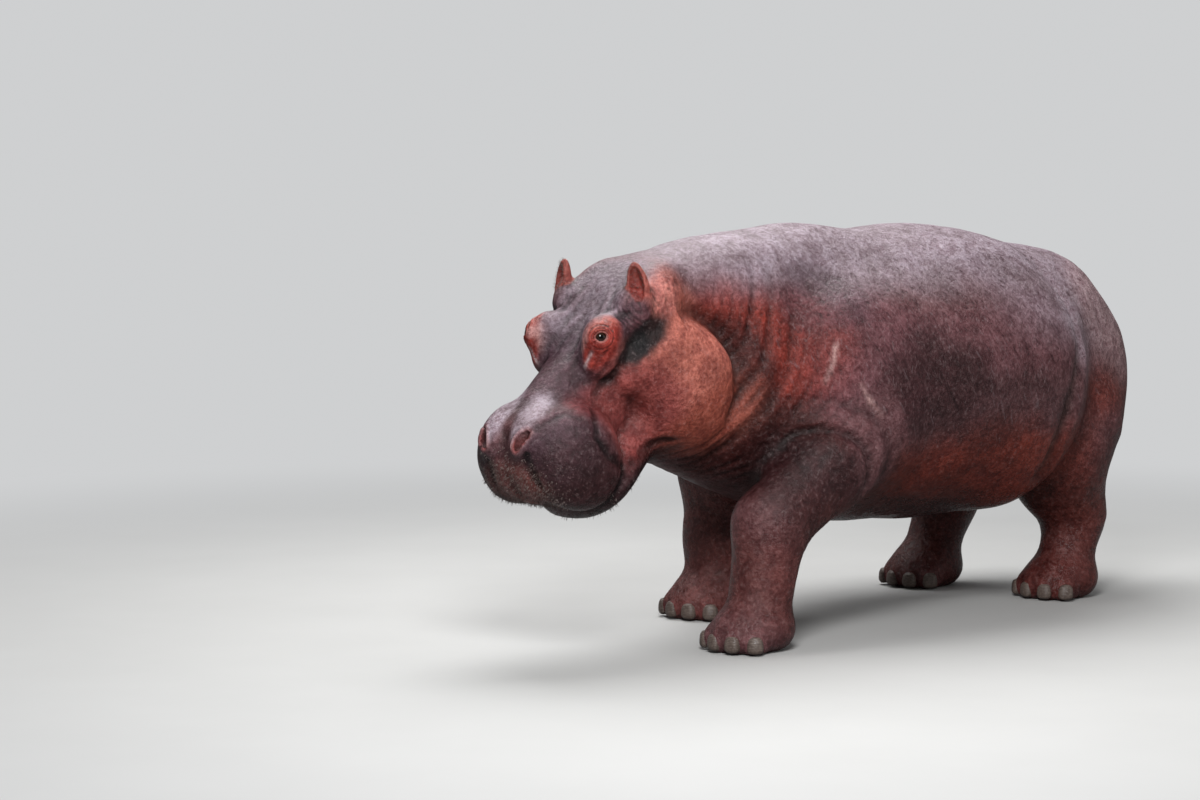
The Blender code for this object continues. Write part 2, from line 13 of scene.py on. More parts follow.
import bmesh
import bpy
import numpy as np
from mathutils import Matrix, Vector


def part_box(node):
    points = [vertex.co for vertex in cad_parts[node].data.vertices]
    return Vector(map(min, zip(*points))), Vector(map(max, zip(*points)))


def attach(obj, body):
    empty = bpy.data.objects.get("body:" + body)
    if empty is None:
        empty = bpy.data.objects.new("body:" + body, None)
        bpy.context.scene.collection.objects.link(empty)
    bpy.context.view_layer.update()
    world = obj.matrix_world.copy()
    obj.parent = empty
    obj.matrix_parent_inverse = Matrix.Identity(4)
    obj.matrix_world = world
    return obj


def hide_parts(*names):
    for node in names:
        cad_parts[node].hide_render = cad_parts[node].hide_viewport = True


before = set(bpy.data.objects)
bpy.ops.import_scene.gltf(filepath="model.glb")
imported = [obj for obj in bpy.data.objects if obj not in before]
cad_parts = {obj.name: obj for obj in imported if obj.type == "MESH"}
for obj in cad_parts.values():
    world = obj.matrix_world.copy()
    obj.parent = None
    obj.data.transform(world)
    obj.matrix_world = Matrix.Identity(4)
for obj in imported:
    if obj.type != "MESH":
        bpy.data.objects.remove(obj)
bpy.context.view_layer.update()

# %% [markdown]
# ## Soft masses
#
# Flesh has no flat faces and no sharp joints: a hippopotamus is a heap of round masses run
# together. A sculptor would press clay balls together and smooth them over. The same can be said
# in numbers: each mass gives the distance from any place to its own surface, and a soft minimum
# joins two such distances, rounded over where they meet. The animal's surface is where the joined
# distance is zero. Subdividing a hand-made cage would also work, but folds would then need edge
# loops laid by hand; here a fold is only another term in the sum.


# %% Distances and how they join
FAR_AWAY = 10.0
MIDLINE_ROUNDING = 0.015


def turn(pitch, yaw):
    """Rotation matrix: pitch about Y, then yaw about Z, in degrees."""
    p, w = math.radians(pitch), math.radians(yaw)
    about_y = np.array([[math.cos(p), 0, math.sin(p)], [0, 1, 0], [-math.sin(p), 0, math.cos(p)]])
    about_z = np.array([[math.cos(w), -math.sin(w), 0], [math.sin(w), math.cos(w), 0], [0, 0, 1]])
    return about_z @ about_y


def join(a, b, blend):
    """Smaller of two distances, less a quarter of the blend times the square of how near they are."""
    h = np.maximum(blend - np.abs(a - b), 0.0) / blend
    return np.minimum(a, b) - h * h * blend * 0.25


def carve(a, b, blend):
    """Body a with body b taken out: minus the join of minus a and b."""
    return -join(-a, b, blend)


def unit(vectors):
    """Each vector over its own length."""
    return vectors / np.linalg.norm(vectors, axis=-1, keepdims=True)


def bell(distance, width):
    """1 where the distance is 0, less on both sides: e to the minus (distance / width) squared."""
    return np.exp(-(distance / width) ** 2)


def ellipsoid(points, centre, radii, angles=(0, 0)):
    """k (k - 1) / g, with k the place's length in radii and g that of its slope."""
    local = (points - np.array(centre)) @ turn(*angles)
    near = np.sqrt(((local / radii) ** 2).sum(-1))
    slope = np.sqrt(((local / np.square(radii)) ** 2).sum(-1))
    return near * (near - 1.0) / np.maximum(slope, 1e-6)


def bone(points, start, end):
    """Distance to the nearest place on a line, less a radius that changes evenly along it."""
    a, b = np.array(start[:3]), np.array(end[:3])
    along = np.clip(((points - a) @ (b - a)) / ((b - a) @ (b - a)), 0.0, 1.0)
    gap = points - a - along[:, None] * (b - a)
    return np.sqrt((gap ** 2).sum(-1)) - (start[3] + (end[3] - start[3]) * along)


def chain(points, joints, blend):
    """The bones between neighbouring joints, run together."""
    body = bone(points, joints[0], joints[1])
    for start, end in zip(joints[1:], joints[2:]):
        body = join(body, bone(points, start, end), blend)
    return body


def mirrored(points):
    """Both sides laid on one: the side distance becomes the root of its square plus 15 mm squared."""
    return np.stack([points[:, 0], np.hypot(points[:, 1], MIDLINE_ROUNDING), points[:, 2]], axis=1)


def one_side(points):
    """Both sides laid on one without rounding: the side distance loses its sign."""
    return np.stack([points[:, 0], np.abs(points[:, 1]), points[:, 2]], axis=1)


def blended(masses, points):
    """All masses of a table joined in its order; one with a side place above 0 stands on both sides."""
    pair = mirrored(points)
    body = np.full(len(points), FAR_AWAY)
    for centre, radii, pitch, blend in masses.values():
        body = join(body, ellipsoid(pair if centre[1] else points, centre, radii, (pitch, 0)), blend)
    return body


def smooth(share):
    """Ease from 0 to 1: 3 s s - 2 s s s."""
    s = np.clip(share, 0.0, 1.0)
    return s * s * (3.0 - 2.0 * s)


print("two balls 1 mm apart join at", join(np.array([0.001]), np.array([0.001]), 0.02), "m")

# %% [markdown]
# ## The head's frame
#
# The head hangs forward and down from the poll, so its masses are easier to give in its own axes:
# ahead along the face, aside to the animal's left, and above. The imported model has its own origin
# under the middle of the body, so one shift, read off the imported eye, carries everything there.

# %% Head axes
HEAD_AT = np.array([-1.36, 0.0, 1.33])
HEAD_PITCH = math.radians(40.0)
EYE_AT = np.array([0.305, 0.167, 0.003])
EYE_RADIUS = 0.025
head_rows = np.array([[-math.cos(HEAD_PITCH), 0, -math.sin(HEAD_PITCH)], [0, -1, 0],
                      [-math.sin(HEAD_PITCH), 0, math.cos(HEAD_PITCH)]])


def to_head(points):
    """Each place less the poll's, measured along the head's three axes."""
    return (points - HEAD_AT) @ head_rows.T


def from_head(places):
    """The head's axes times the three numbers, added to the poll's place."""
    return np.array(places) @ head_rows + HEAD_AT


eye_low, eye_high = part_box("eye_left")
shift = (np.array(eye_low) + np.array(eye_high)) / 2 - from_head(EYE_AT)
print("origin of the packed model:", np.round(shift, 4))

# %% Masses of the head: centre, half sizes, pitch in degrees, blend width
UPPER_HEAD = {
    "cranium": ((0.02, 0, -0.155), (0.23, 0.18, 0.165), 0, 0.05),
    "poll": ((-0.01, 0.125, -0.078), (0.13, 0.075, 0.088), 0, 0.07),
    "ear_cuff": ((0.088, 0.158, -0.026), (0.062, 0.048, 0.060), 0, 0.04),
    "forehead": ((0.18, 0, -0.115), (0.17, 0.14, 0.085), 0, 0.06),
    "bridge": ((0.42, 0, -0.17), (0.36, 0.115, 0.14), -2, 0.06),
    "snout": ((0.45, 0, -0.27), (0.30, 0.145, 0.15), 0, 0.08),
    "muzzle": ((0.66, 0, -0.235), (0.17, 0.20, 0.175), 0, 0.08),
    "lip_bulge": ((0.635, 0.145, -0.265), (0.175, 0.115, 0.185), 0, 0.05),
    "nostril_mound": ((0.70, 0.085, -0.095), (0.10, 0.055, 0.055), 0, 0.06),
    "cheek_arch": ((0.14, 0.165, -0.21), (0.19, 0.085, 0.10), 0, 0.07),
    "brow": ((0.15, 0.120, -0.070), (0.15, 0.070, 0.055), 0, 0.08),
    "eye_mound": ((0.265, 0.133, -0.042), (0.088, 0.070, 0.084), 0, 0.03),
    "under_eye": ((0.330, 0.125, -0.085), (0.060, 0.050, 0.055), 0, 0.05),
    "ear_root": ((0.0, 0.145, -0.09), (0.07, 0.065, 0.07), 0, 0.05),
}
LOWER_HEAD = {
    "chin": ((0.55, 0, -0.45), (0.18, 0.20, 0.11), 0, 0.05),
    "jaw": ((0.36, 0, -0.44), (0.28, 0.17, 0.13), 0, 0.07),
    "cheek": ((0.09, 0.165, -0.40), (0.225, 0.135, 0.245), 0, 0.07),
    "throat": ((0.12, 0, -0.48), (0.24, 0.16, 0.15), 0, 0.07),
}
NOSTRIL = ((0.762, 0.092, -0.060), (0.043, 0.017, 0.036), (24, -27))
print("head masses:", len(UPPER_HEAD) + len(LOWER_HEAD))

# %% Masses of the body, as those of the head, then the leg joints and the tail
TRUNK = {
    "barrel": ((0.22, 0, 0.90), (0.88, 0.61, 0.55), 0, 0.15),
    "flank": ((0.48, 0.27, 0.86), (0.36, 0.34, 0.46), 10, 0.12),
    "chest": ((-0.36, 0, 0.91), (0.58, 0.44, 0.50), 0, 0.20),
    "withers": ((-0.38, 0, 1.30), (0.28, 0.20, 0.195), 0, 0.12),
    "loin": ((0.39, 0, 1.275), (0.62, 0.32, 0.17), 4, 0.15),
    "croup": ((0.88, 0, 0.92), (0.51, 0.41, 0.42), 0, 0.15),
    "hip": ((0.91, 0.17, 1.10), (0.25, 0.22, 0.245), 20, 0.12),
    "shoulder": ((-0.42, 0.30, 0.88), (0.24, 0.17, 0.34), -8, 0.14),
    "thigh": ((0.95, 0.27, 0.76), (0.29, 0.19, 0.46), 14, 0.05),
    "buttock": ((1.13, 0.16, 0.84), (0.205, 0.20, 0.33), 0, 0.10),
    "neck_low": ((-0.80, 0, 0.97), (0.42, 0.305, 0.41), -12, 0.15),
    "neck_high": ((-1.08, 0, 1.00), (0.32, 0.210, 0.34), -25, 0.12),
    "nape": ((-0.86, 0, 1.285), (0.52, 0.20, 0.18), -5, 0.14),
}
# Leg joints from the shoulder or hip down: x, y, z, radius
LEGS = {
    "foreleg_left": ((-0.42, -0.33, 0.74, 0.21), (-0.62, -0.36, 0.63, 0.160),
                     (-0.92, -0.36, 0.44, 0.128), (-0.97, -0.35, 0.12, 0.115)),
    "foreleg_right": ((-0.40, 0.33, 0.72, 0.20), (-0.40, 0.33, 0.55, 0.165),
                      (-0.44, 0.33, 0.30, 0.118), (-0.46, 0.33, 0.12, 0.115)),
    "hindleg_left": ((0.94, -0.29, 0.70, 0.20), (0.88, -0.30, 0.55, 0.165),
                     (0.98, -0.30, 0.33, 0.115), (0.92, -0.30, 0.12, 0.11)),
    "hindleg_right": ((0.92, 0.29, 0.70, 0.20), (0.84, 0.30, 0.53, 0.165),
                      (0.92, 0.30, 0.33, 0.115), (0.82, 0.30, 0.12, 0.11)),
}
TAIL = ((1.30, 0.0, 1.08, 0.070), (1.435, 0.0, 0.93, 0.050), (1.475, 0.0, 0.74, 0.036),
        (1.475, 0.0, 0.56, 0.022))
FOOT_AHEAD, FOOT_HEIGHT, FOOT_RADII = -0.03, 0.075, (0.155, 0.145, 0.10)
TOES_AHEAD, TOES_ASIDE, TOES_UP = 0.115, 0.132, 0.046
TOE_RADII = (0.062, 0.045, 0.055)
toe_turns = np.radians(28.0 * (np.arange(4) - 1.5))
print("trunk masses:", len(TRUNK), "toes on a foot:", len(toe_turns))

# %% [markdown]
# ## Folds
#
# A hide this thick doesn't wrinkle like cloth. It breaks along a few lines that the animal bends
# again and again: behind the flank, over the elbow, round the neck, behind the cheek, and from the
# eye down to the corner of the lip. Each line is an arc or a short path, and the surface sinks near
# it by a depth that dies away like a bell curve. They could be sculpted by brush, but then they
# would not be the same on both sides, nor follow the masses when those change.

# %% Arcs seen from the side: centre, radius, span in degrees, width, depth
BODY_CREASES = {
    "elbow_fold": ((-0.70, 0.625), 0.140, (-45, 140), 0.024, 0.022),
    "elbow_sleeve": ((-0.70, 0.625), 0.190, (-40, 120), 0.035, -0.012),
    "elbow_fold_outer": ((-0.70, 0.625), 0.250, (-30, 110), 0.020, 0.008),
    "neck_fold_front": ((-1.90, 1.55), 1.06, (-56, -8), 0.024, 0.012),
    "neck_fold_middle": ((-1.90, 1.55), 1.14, (-56, -8), 0.024, 0.012),
    "neck_fold_back": ((-1.90, 1.55), 1.23, (-54, -12), 0.030, 0.012),
}
# Path of the fold behind the belly, seen from the side, its width and depth
FLANK_FOLD = ((0.66, 0.0, 1.40), (0.685, 0.0, 1.25), (0.70, 0.0, 1.12), (0.66, 0.0, 1.01),
              (0.59, 0.0, 0.91), (0.535, 0.0, 0.79), (0.505, 0.0, 0.66), (0.50, 0.0, 0.52))
FLANK_FOLD_WIDTH, FLANK_FOLD_DEPTH = 0.045, 0.035
JOWL_CREASE = ((0.13, -0.37), 0.245, (120, 262), 0.042, 0.050)


def crease(points, arc):
    """Depth times a bell curve of the distance from the arc, faded to its ends and the midline."""
    (x, z), radius, (first, last), width, depth = arc
    across, up = points[:, 0] - x, points[:, 2] - z
    angle = np.degrees(np.arctan2(up, across)) % 360.0
    angle = np.where(angle > (first + last) / 2 + 180.0, angle - 360.0, angle)
    along = np.clip((angle - first) / (last - first), 0.0, 1.0)
    fade = np.sin(np.pi * along) ** 0.7 * np.clip((np.abs(points[:, 1]) - 0.06) / 0.10, 0.0, 1.0)
    return depth * fade * bell(np.hypot(across, up) - radius, width)


def path_distance(points, path):
    """Smallest of the distances to the path's straight pieces."""
    far = np.full(len(points), FAR_AWAY)
    for start, end in zip(path, path[1:]):
        far = np.minimum(far, bone(points, (*start, 0.0), (*end, 0.0)))
    return far


def flank_fold(points):
    """Depth times a bell curve of the distance from the path, faded to its ends and the midline."""
    far = path_distance(points * [1, 0, 1], FLANK_FOLD)
    fade = smooth((1.44 - points[:, 2]) / 0.25) * smooth((points[:, 2] - 0.40) / 0.15)
    fade = fade * smooth((np.abs(points[:, 1]) - 0.10) / 0.15)
    return FLANK_FOLD_DEPTH * fade * bell(far, FLANK_FOLD_WIDTH)


# %% Short grooves of the head: path in its axes, width, depth
GROOVES = {
    "eye_to_lip": (((0.305, 0.155, -0.125), (0.345, 0.140, -0.150), (0.414, 0.131, -0.162),
                    (0.490, 0.170, -0.165), (0.543, 0.218, -0.163), (0.595, 0.248, -0.195),
                    (0.600, 0.256, -0.275), (0.555, 0.225, -0.370), (0.480, 0.190, -0.430)), 0.014, 0.013),
    "cheek_scar": (((0.245, 0.258, -0.345), (0.225, 0.275, -0.375), (0.205, 0.282, -0.411)), 0.003, 0.003),
    "jaw_pocket": (((0.42, 0.18, -0.44), (0.345, 0.165, -0.47), (0.27, 0.19, -0.50)), 0.016, 0.014),
    "lip_wrinkle": (((0.58, 0.235, -0.36), (0.53, 0.22, -0.38), (0.47, 0.19, -0.42)), 0.008, 0.005),
    "chin_wrinkle": (((0.56, 0.22, -0.41), (0.50, 0.20, -0.44), (0.43, 0.18, -0.46)), 0.008, 0.005),
    "beside_nose": (((0.785, 0.105, -0.105), (0.805, 0.098, -0.16), (0.80, 0.108, -0.22),
                     (0.785, 0.130, -0.29)), 0.018, 0.011),
    "between_nostrils": (((0.74, 0.0, -0.06), (0.81, 0.0, -0.11), (0.83, 0.0, -0.17), (0.82, 0.0, -0.26)),
                         0.022, 0.010),
    "under_eye_1": (((0.321, 0.189, -0.035), (0.350, 0.175, -0.047), (0.377, 0.155, -0.066),
                     (0.394, 0.128, -0.090)), 0.007, 0.0045),
    "under_eye_2": (((0.298, 0.197, -0.065), (0.334, 0.186, -0.080), (0.367, 0.165, -0.098),
                     (0.385, 0.135, -0.122)), 0.008, 0.0050),
    "above_lip": (((0.715, 0.125, -0.055), (0.66, 0.140, -0.070), (0.602, 0.159, -0.081),
                   (0.581, 0.205, -0.120)), 0.012, 0.005),
    "temple_hollow": (((0.215, 0.200, -0.085), (0.165, 0.215, -0.125), (0.12, 0.22, -0.15)), 0.045, 0.014),
    "before_ear": (((0.19, 0.165, -0.01), (0.13, 0.175, -0.03), (0.07, 0.185, -0.06)), 0.018, 0.008),
    "brow_ridge": (((0.04, 0.05, -0.005), (0.12, 0.070, 0.0), (0.20, 0.085, 0.01)), 0.016, -0.006),
    "bridge_ridge": (((0.20, 0.035, -0.01), (0.30, 0.055, -0.03), (0.42, 0.060, -0.04)), 0.014, -0.005),
}


def line(places, path, width):
    """1 on a path and less beside it, as a bell curve of the distance."""
    return bell(path_distance(places, path), width)


def grooved(places):
    """Sum over the grooves of depth times a bell curve of the distance from the path, both sides."""
    return sum(depth * line(one_side(places), path, width) for path, width, depth in GROOVES.values())


print("arcs:", len(BODY_CREASES) + 1, "grooves on each side of the head:", len(GROOVES))

# %% [markdown]
# ## Eyes and lids
#
# A hippopotamus keeps its eyes on top of the head, each on a mound of its own, with thick lids that
# fold in rings as they open. The lid is a pillow over the eyeball. An almond, where two circles
# overlap, is cut through it down to the ball, its rim is raised a little, and rings of shallow
# creases lie round it, deeper above than below. The almond lies almost level when the head hangs.

# %% The eye's own axes: back along the almond, up, out
out = unit(np.array([0.32, 0.84, 0.44]))
level = np.array([-math.sin(HEAD_PITCH), 0.0, math.cos(HEAD_PITCH)])
lid_up = unit(level - out * (level @ out))
lid_back = np.cross(lid_up, out)
lid_back = lid_back * -np.sign(lid_back[0])
ALMOND_TILT = math.radians(12.0)
almond_back = lid_back * math.cos(ALMOND_TILT) + lid_up * math.sin(ALMOND_TILT)
almond_up = lid_up * math.cos(ALMOND_TILT) - lid_back * math.sin(ALMOND_TILT)
eye_rows = np.array([almond_back, almond_up, out])
ALMOND_HALF = (0.0190, 0.0145)
print("the eye looks out along", np.round(out, 2), "of the head")


def almond(across, up, half):
    """Distance to the overlap of two circles: the farther of both, less their radius."""
    wide, high = half
    radius = (wide * wide + high * high) / (2 * high)
    rise = radius - high
    return np.maximum(np.hypot(across, up + rise), np.hypot(across, up - rise)) - radius


def to_eye(places):
    """Places of the head, both sides laid on one, along the eye's axes."""
    return (one_side(places) - EYE_AT) @ eye_rows.T


def about_lids(local):
    """Distance from the opening's edge, then how far above it and how far in front, from 0 to 1."""
    return (almond(local[:, 0], local[:, 1], ALMOND_HALF), smooth((local[:, 1] + 0.004) / 0.012),
            smooth((local[:, 2] + 0.005) / 0.015))


# %% Lids as a change to the head's distance
LID_PILLOW = ((0.002, -0.001, 0.0), (0.046, 0.041, 0.0288))
OPENING_FLOOR = 0.0140
# The raised rim: distance from the opening's edge, width, height
LID_RIM = (0.0035, 0.0034, 0.0022)
# Folds round the opening: distance from its edge, width, depth above it, depth below it
FOLDS = ((0.0080, 0.0034, 0.0030, 0.0004), (0.0165, 0.0038, 0.0028, 0.0008),
         (0.0270, 0.0046, 0.0024, 0.0014))


def lidded(body, places):
    """The head joined to the pillow and the almond cut out, with a raised rim and folds about it."""
    local = to_eye(places)
    body = join(body, ellipsoid(local, *LID_PILLOW), blend=0.030)
    ring, above, front = about_lids(local)
    place, width, height = LID_RIM
    body = body - height * front * bell(ring - place, width)
    for place, width, high, low in FOLDS:
        body = body + (low + (high - low) * above) * front * bell(ring - place, width)
    return carve(body, np.maximum(ring, OPENING_FLOOR - local[:, 2]), blend=0.0036)


# %% [markdown]
# ## Nostrils and ears
#
# A nostril is a slanting slot that the animal can shut, with a thick paler rim, so the skin is swollen
# round it first and the slot is carved out after. The ears are small and stiff, each a rounded shell
# hollowed from its open side, with a thick edge. In the solids they are bodies of their own; here
# they grow from the head, so that no seam shows at the root.

# %% Nostril rims and ear shells
EAR_LENGTH = 0.205
EAR_ROOT = (0.125, 0.203, -0.071)
# Balls along the ear's own axes, each with centre and half sizes; the last holds the shell with its hair
EAR_SHELL = ((0.0, 0.0, EAR_LENGTH / 2), (0.040, 0.029, EAR_LENGTH / 2))
EAR_HOLLOW = ((0.0, 0.027, EAR_LENGTH * 0.58), (0.0275, 0.034, EAR_LENGTH * 0.36))
EAR_AROUND = ((0.0, 0.0, EAR_LENGTH / 2), (0.050, 0.038, EAR_LENGTH / 2 + 0.004))
# The nostril's raised rim: distance from the slot's edge, width, height
NOSTRIL_RIM = (0.006, 0.007, 0.0050)


def nostrilled(body, places):
    """A bell-shaped swelling round the slot's own distance, then the slot carved out."""
    slot = ellipsoid(mirrored(places), *NOSTRIL)
    place, width, height = NOSTRIL_RIM
    return carve(body - height * bell(slot - place, width), slot, blend=0.006)


def ear_axes(side):
    """Rows: across, towards the opening, along the ear; side is 1 for left."""
    along = unit(np.array([-0.085, 0.17 * side, 0.98]))
    opening = np.array([-0.93, -0.40 * side, 0.0])
    opening = unit(opening - along * (opening @ along))
    return np.array([np.cross(opening, along), opening, along])


def in_ear(points, side):
    """Places measured from the ear's root along its own axes."""
    root = from_head((EAR_ROOT[0], EAR_ROOT[1] * side, EAR_ROOT[2]))
    return (points - root) @ ear_axes(side).T


def ear(points, side):
    """A long ball with a smaller one carved from its open side."""
    local = in_ear(points, side)
    return carve(ellipsoid(local, *EAR_SHELL), ellipsoid(local, *EAR_HOLLOW), blend=0.008)


print("ear:", EAR_LENGTH, "m long with its root")


# %% [markdown]
# ## The whole surface
#
# The order matters: the trunk and legs run together first, then the folds sink, then the head with
# its mouth joins on, and last the tail and ears. The mouth is a line where upper and lower head
# stay apart, which closes softly behind its corner. The soles are cut off flat at the floor.

# %% Head, leg and whole animal
MOUTH_CORNER, CORNER_LENGTH, CHEEK_BLEND = 0.42, 0.16, 0.07


def head(points, lip):
    """Upper and lower head joined tightly ahead of the mouth's corner and widely behind it."""
    q = to_head(points)
    behind = smooth((MOUTH_CORNER - q[:, 0]) / CORNER_LENGTH)
    return join(blended(UPPER_HEAD, q), blended(LOWER_HEAD, q), lip + (CHEEK_BLEND - lip) * behind)


def toe_places(joint):
    """Toe centres on an arc ahead of the foot's middle."""
    x, y = joint[0] + FOOT_AHEAD, joint[1]
    return [(x - TOES_AHEAD * math.cos(a), y + TOES_ASIDE * math.sin(a), TOES_UP) for a in toe_turns]


def leg(points, joints):
    """The bones of the leg joined to a low round foot and its four toes."""
    last = joints[-1]
    foot = ellipsoid(points, (last[0] + FOOT_AHEAD, last[1], FOOT_HEIGHT), FOOT_RADII)
    for toe in toe_places(last):
        foot = join(foot, ellipsoid(points, toe, TOE_RADII), blend=0.02)
    return join(chain(points, joints, blend=0.06), foot, blend=0.05)


def head_side(points):
    """Each place in the head's axes, both sides laid on the left one."""
    return one_side(to_head(points))


def within(points, centre, reach):
    """Which points are nearer to a centre than a reach."""
    return ((points - np.array(centre)) ** 2).sum(-1) < reach * reach


def animal(points, fine=False):
    """Distance to the skin; fine adds lids, nostril rims and grooves, which a coarse grid would miss."""
    body = blended(TRUNK, points)
    for joints in LEGS.values():
        body = join(body, leg(points, joints), blend=0.09)
    for arc in BODY_CREASES.values():
        body = body + crease(points, arc)
    body = join(body + flank_fold(points), head(points, lip=0.014 if fine else 0.022), blend=0.08)
    q = to_head(points)
    body = body + crease(q, JOWL_CREASE)
    body = join(body, chain(points, TAIL, blend=0.03), blend=0.05)
    nose = within(q, (0.75, 0.0, -0.08), reach=0.25)
    body[nose] = (nostrilled(body[nose], q[nose]) if fine
                  else carve(body[nose], ellipsoid(mirrored(q[nose]), *NOSTRIL), blend=0.012))
    if fine:
        face = within(q, (0.35, 0.0, -0.25), reach=0.60)
        body[face] = body[face] + grooved(q[face])
        for side in (1, -1):
            eye = within(q, EYE_AT * [1, side, 1], reach=0.085)
            body[eye] = lidded(body[eye], q[eye])
    for side in (1, -1):
        near = within(points, from_head((0.0, 0.15 * side, 0.02)), reach=0.30)
        body[near] = join(body[near], ear(points[near], side), blend=0.02)
    return carve(body, points[:, 2], blend=0.012)


def skin_distance(points):
    """The animal with all its fine forms."""
    return animal(points, fine=True)


print("distance at the middle of the barrel:", np.round(animal(np.array([[0.3, 0.0, 0.9]])), 2))

# %% [markdown]
# ## From a distance to a mesh
#
# A skin of two parameters on a grid would have to be cut for four legs, two ears and a mouth, and
# would show a seam at each. So the grid here is in space: wherever the distance changes sign inside
# a grid cell, one vertex is put at the middle of the crossings, and neighbouring cells share a quad.
# This is called a surface net. The cells grow away from the face, where the detail is, and each
# vertex then slides down the slope of the distance until it lies on the surface exactly.

# %% Grid steps that grow with distance from the face
NET_CENTRE = np.array([-1.501, 0.0, 1.10])
NET_CELL = 0.0097
NET_GROWTH = 1.00


def spread(steps):
    """Place = centre + cell * steps * root(1 + (reach / growth) squared)."""
    reach = np.sqrt((steps * steps).sum(-1, keepdims=True)) * NET_CELL
    return NET_CENTRE + NET_CELL * steps * np.sqrt(1.0 + (reach / NET_GROWTH) ** 2)


def steps_to(distance):
    """The inverse of spread along one axis."""
    ratio = distance / NET_GROWTH
    return NET_GROWTH / NET_CELL * math.sqrt((math.sqrt(1.0 + 4.0 * ratio * ratio) - 1.0) / 2.0)


# %% Vertices and quads where the sign changes
def crossed_cells(inside):
    """Grid cells with corners on both sides of the surface."""
    count = np.zeros(np.array(inside.shape) - 1, np.int8)
    for dx, dy, dz in np.ndindex(2, 2, 2):
        count += inside[dx:count.shape[0] + dx, dy:count.shape[1] + dy, dz:count.shape[2] + dz]
    return np.argwhere((count > 0) & (count < 8))


def surface_net(values):
    """One vertex in each crossed cell, at the mean of its edge crossings, and a quad per edge."""
    inside = values < 0
    cells = crossed_cells(inside)
    index = np.full(np.array(values.shape) - 1, -1)
    index[tuple(cells.T)] = np.arange(len(cells))
    total, hits, quads = np.zeros((len(cells), 3)), np.zeros(len(cells)), []
    for axis in range(3):
        step = np.eye(3, dtype=int)[axis]
        beside = [np.eye(3, dtype=int)[(axis + k) % 3] for k in (1, 2)]
        for first, second in np.ndindex(2, 2):
            start = cells + first * beside[0] + second * beside[1]
            near, far = values[tuple(start.T)], values[tuple((start + step).T)]
            crossed = (near < 0) != (far < 0)
            share = near[crossed] / (near[crossed] - far[crossed])
            total[crossed] += start[crossed] + share[:, None] * step
            hits += crossed
        low = tuple(slice(0, -1) if k == axis else slice(1, -1) for k in range(3))
        high = tuple(slice(1, None) if k == axis else slice(1, -1) for k in range(3))
        edge = np.argwhere(inside[low] != inside[high]) + (1 - step)
        leaving = inside[tuple(edge.T)]
        ring = np.stack([index[tuple((edge - a * beside[0] - b * beside[1]).T)]
                         for a, b in ((1, 1), (0, 1), (0, 0), (1, 0))], axis=1)
        ring[~leaving] = ring[~leaving][:, ::-1]
        quads.append(ring)
    return total / hits[:, None], np.concatenate(quads)


def slope_of(field, points, value):
    """Change of the distance over one millimetre along each axis."""
    return np.stack([field(points + 1e-3 * axis) - value for axis in np.eye(3)], -1) / 1e-3


def settle(field, points, rounds, reach=0.02):
    """Each point moved against the slope by distance over slope squared, a few times."""
    for _ in range(rounds):
        value = field(points)
        slope = slope_of(field, points, value)
        share = np.clip(value / np.maximum((slope ** 2).sum(-1), 0.05), -reach, reach)
        points = points - share[:, None] * slope
    return points


# %% Sample the distance in coarse blocks first, then finely near the surface only
def net_of(field, low, high, block=4):
    """The surface net of a field inside a box."""
    first = -np.array([math.ceil(steps_to(d)) for d in NET_CENTRE - low])
    last = np.array([math.ceil(steps_to(d)) for d in high - NET_CENTRE])
    blocks = (last - first) // block + 1
    grid = np.stack(np.meshgrid(*[np.arange(n + 1) * block for n in blocks], indexing="ij"), -1)
    corner = grid.reshape(-1, 3).astype(float) + first
    coarse = field(spread(corner))
    size = np.linalg.norm(spread(corner + block) - spread(corner), axis=1)
    near = (np.abs(coarse) < size).reshape(grid.shape[:3])
    for axis in range(3):
        near |= np.roll(near, -1, axis=axis)
    values = np.kron(coarse.reshape(grid.shape[:3]), np.ones((block,) * 3))
    fine = np.argwhere(np.kron(near, np.ones((block,) * 3)) > 0)
    values[tuple(fine.T)] = field(spread(fine.astype(float) + first))
    points, quads = surface_net(values)
    return spread(points + first), quads


points, quads = net_of(animal, np.array([-2.05, -0.75, -0.05]), np.array([1.65, 0.75, 1.65]))
points = settle(animal, points, rounds=2)
print("net:", len(points), "vertices", len(quads), "quads")

# %% [markdown]
# ## Finer where the eye looks
#
# Lids and nostril rims are a few millimetres wide, finer than the net. The quads round the ears are
# split in four once, round the nostrils twice and round the eyes three times, and all vertices slide
# onto the surface with its fine forms. They are then evened out, most of all near the eyes, where
# long thin triangles on the steep wall of a lid would show as dark slits. Splitting only there keeps
# the whole skin under two hundred thousand triangles, where splitting everywhere would need millions.

# %% Split the faces in a region
eyes = [from_head(EYE_AT * [1, side, 1]) for side in (1, -1)]
noses = [from_head((0.765, 0.088 * side, -0.072)) for side in (1, -1)]
ear_tops = [from_head((0.06, 0.18 * side, 0.01)) for side in (1, -1)]


def split(shape, centres, reach):
    """Edges with both ends near a centre are halved and the faces between them filled as grids."""
    places = np.array([vertex.co for vertex in shape.verts])
    near = np.any([within(places, centre, reach) for centre in centres], axis=0)
    edges = [edge for edge in shape.edges if near[edge.verts[0].index] and near[edge.verts[1].index]]
    bmesh.ops.subdivide_edges(shape, edges=edges, cuts=1, use_grid_fill=True)
    shape.verts.index_update()
    return len(edges)


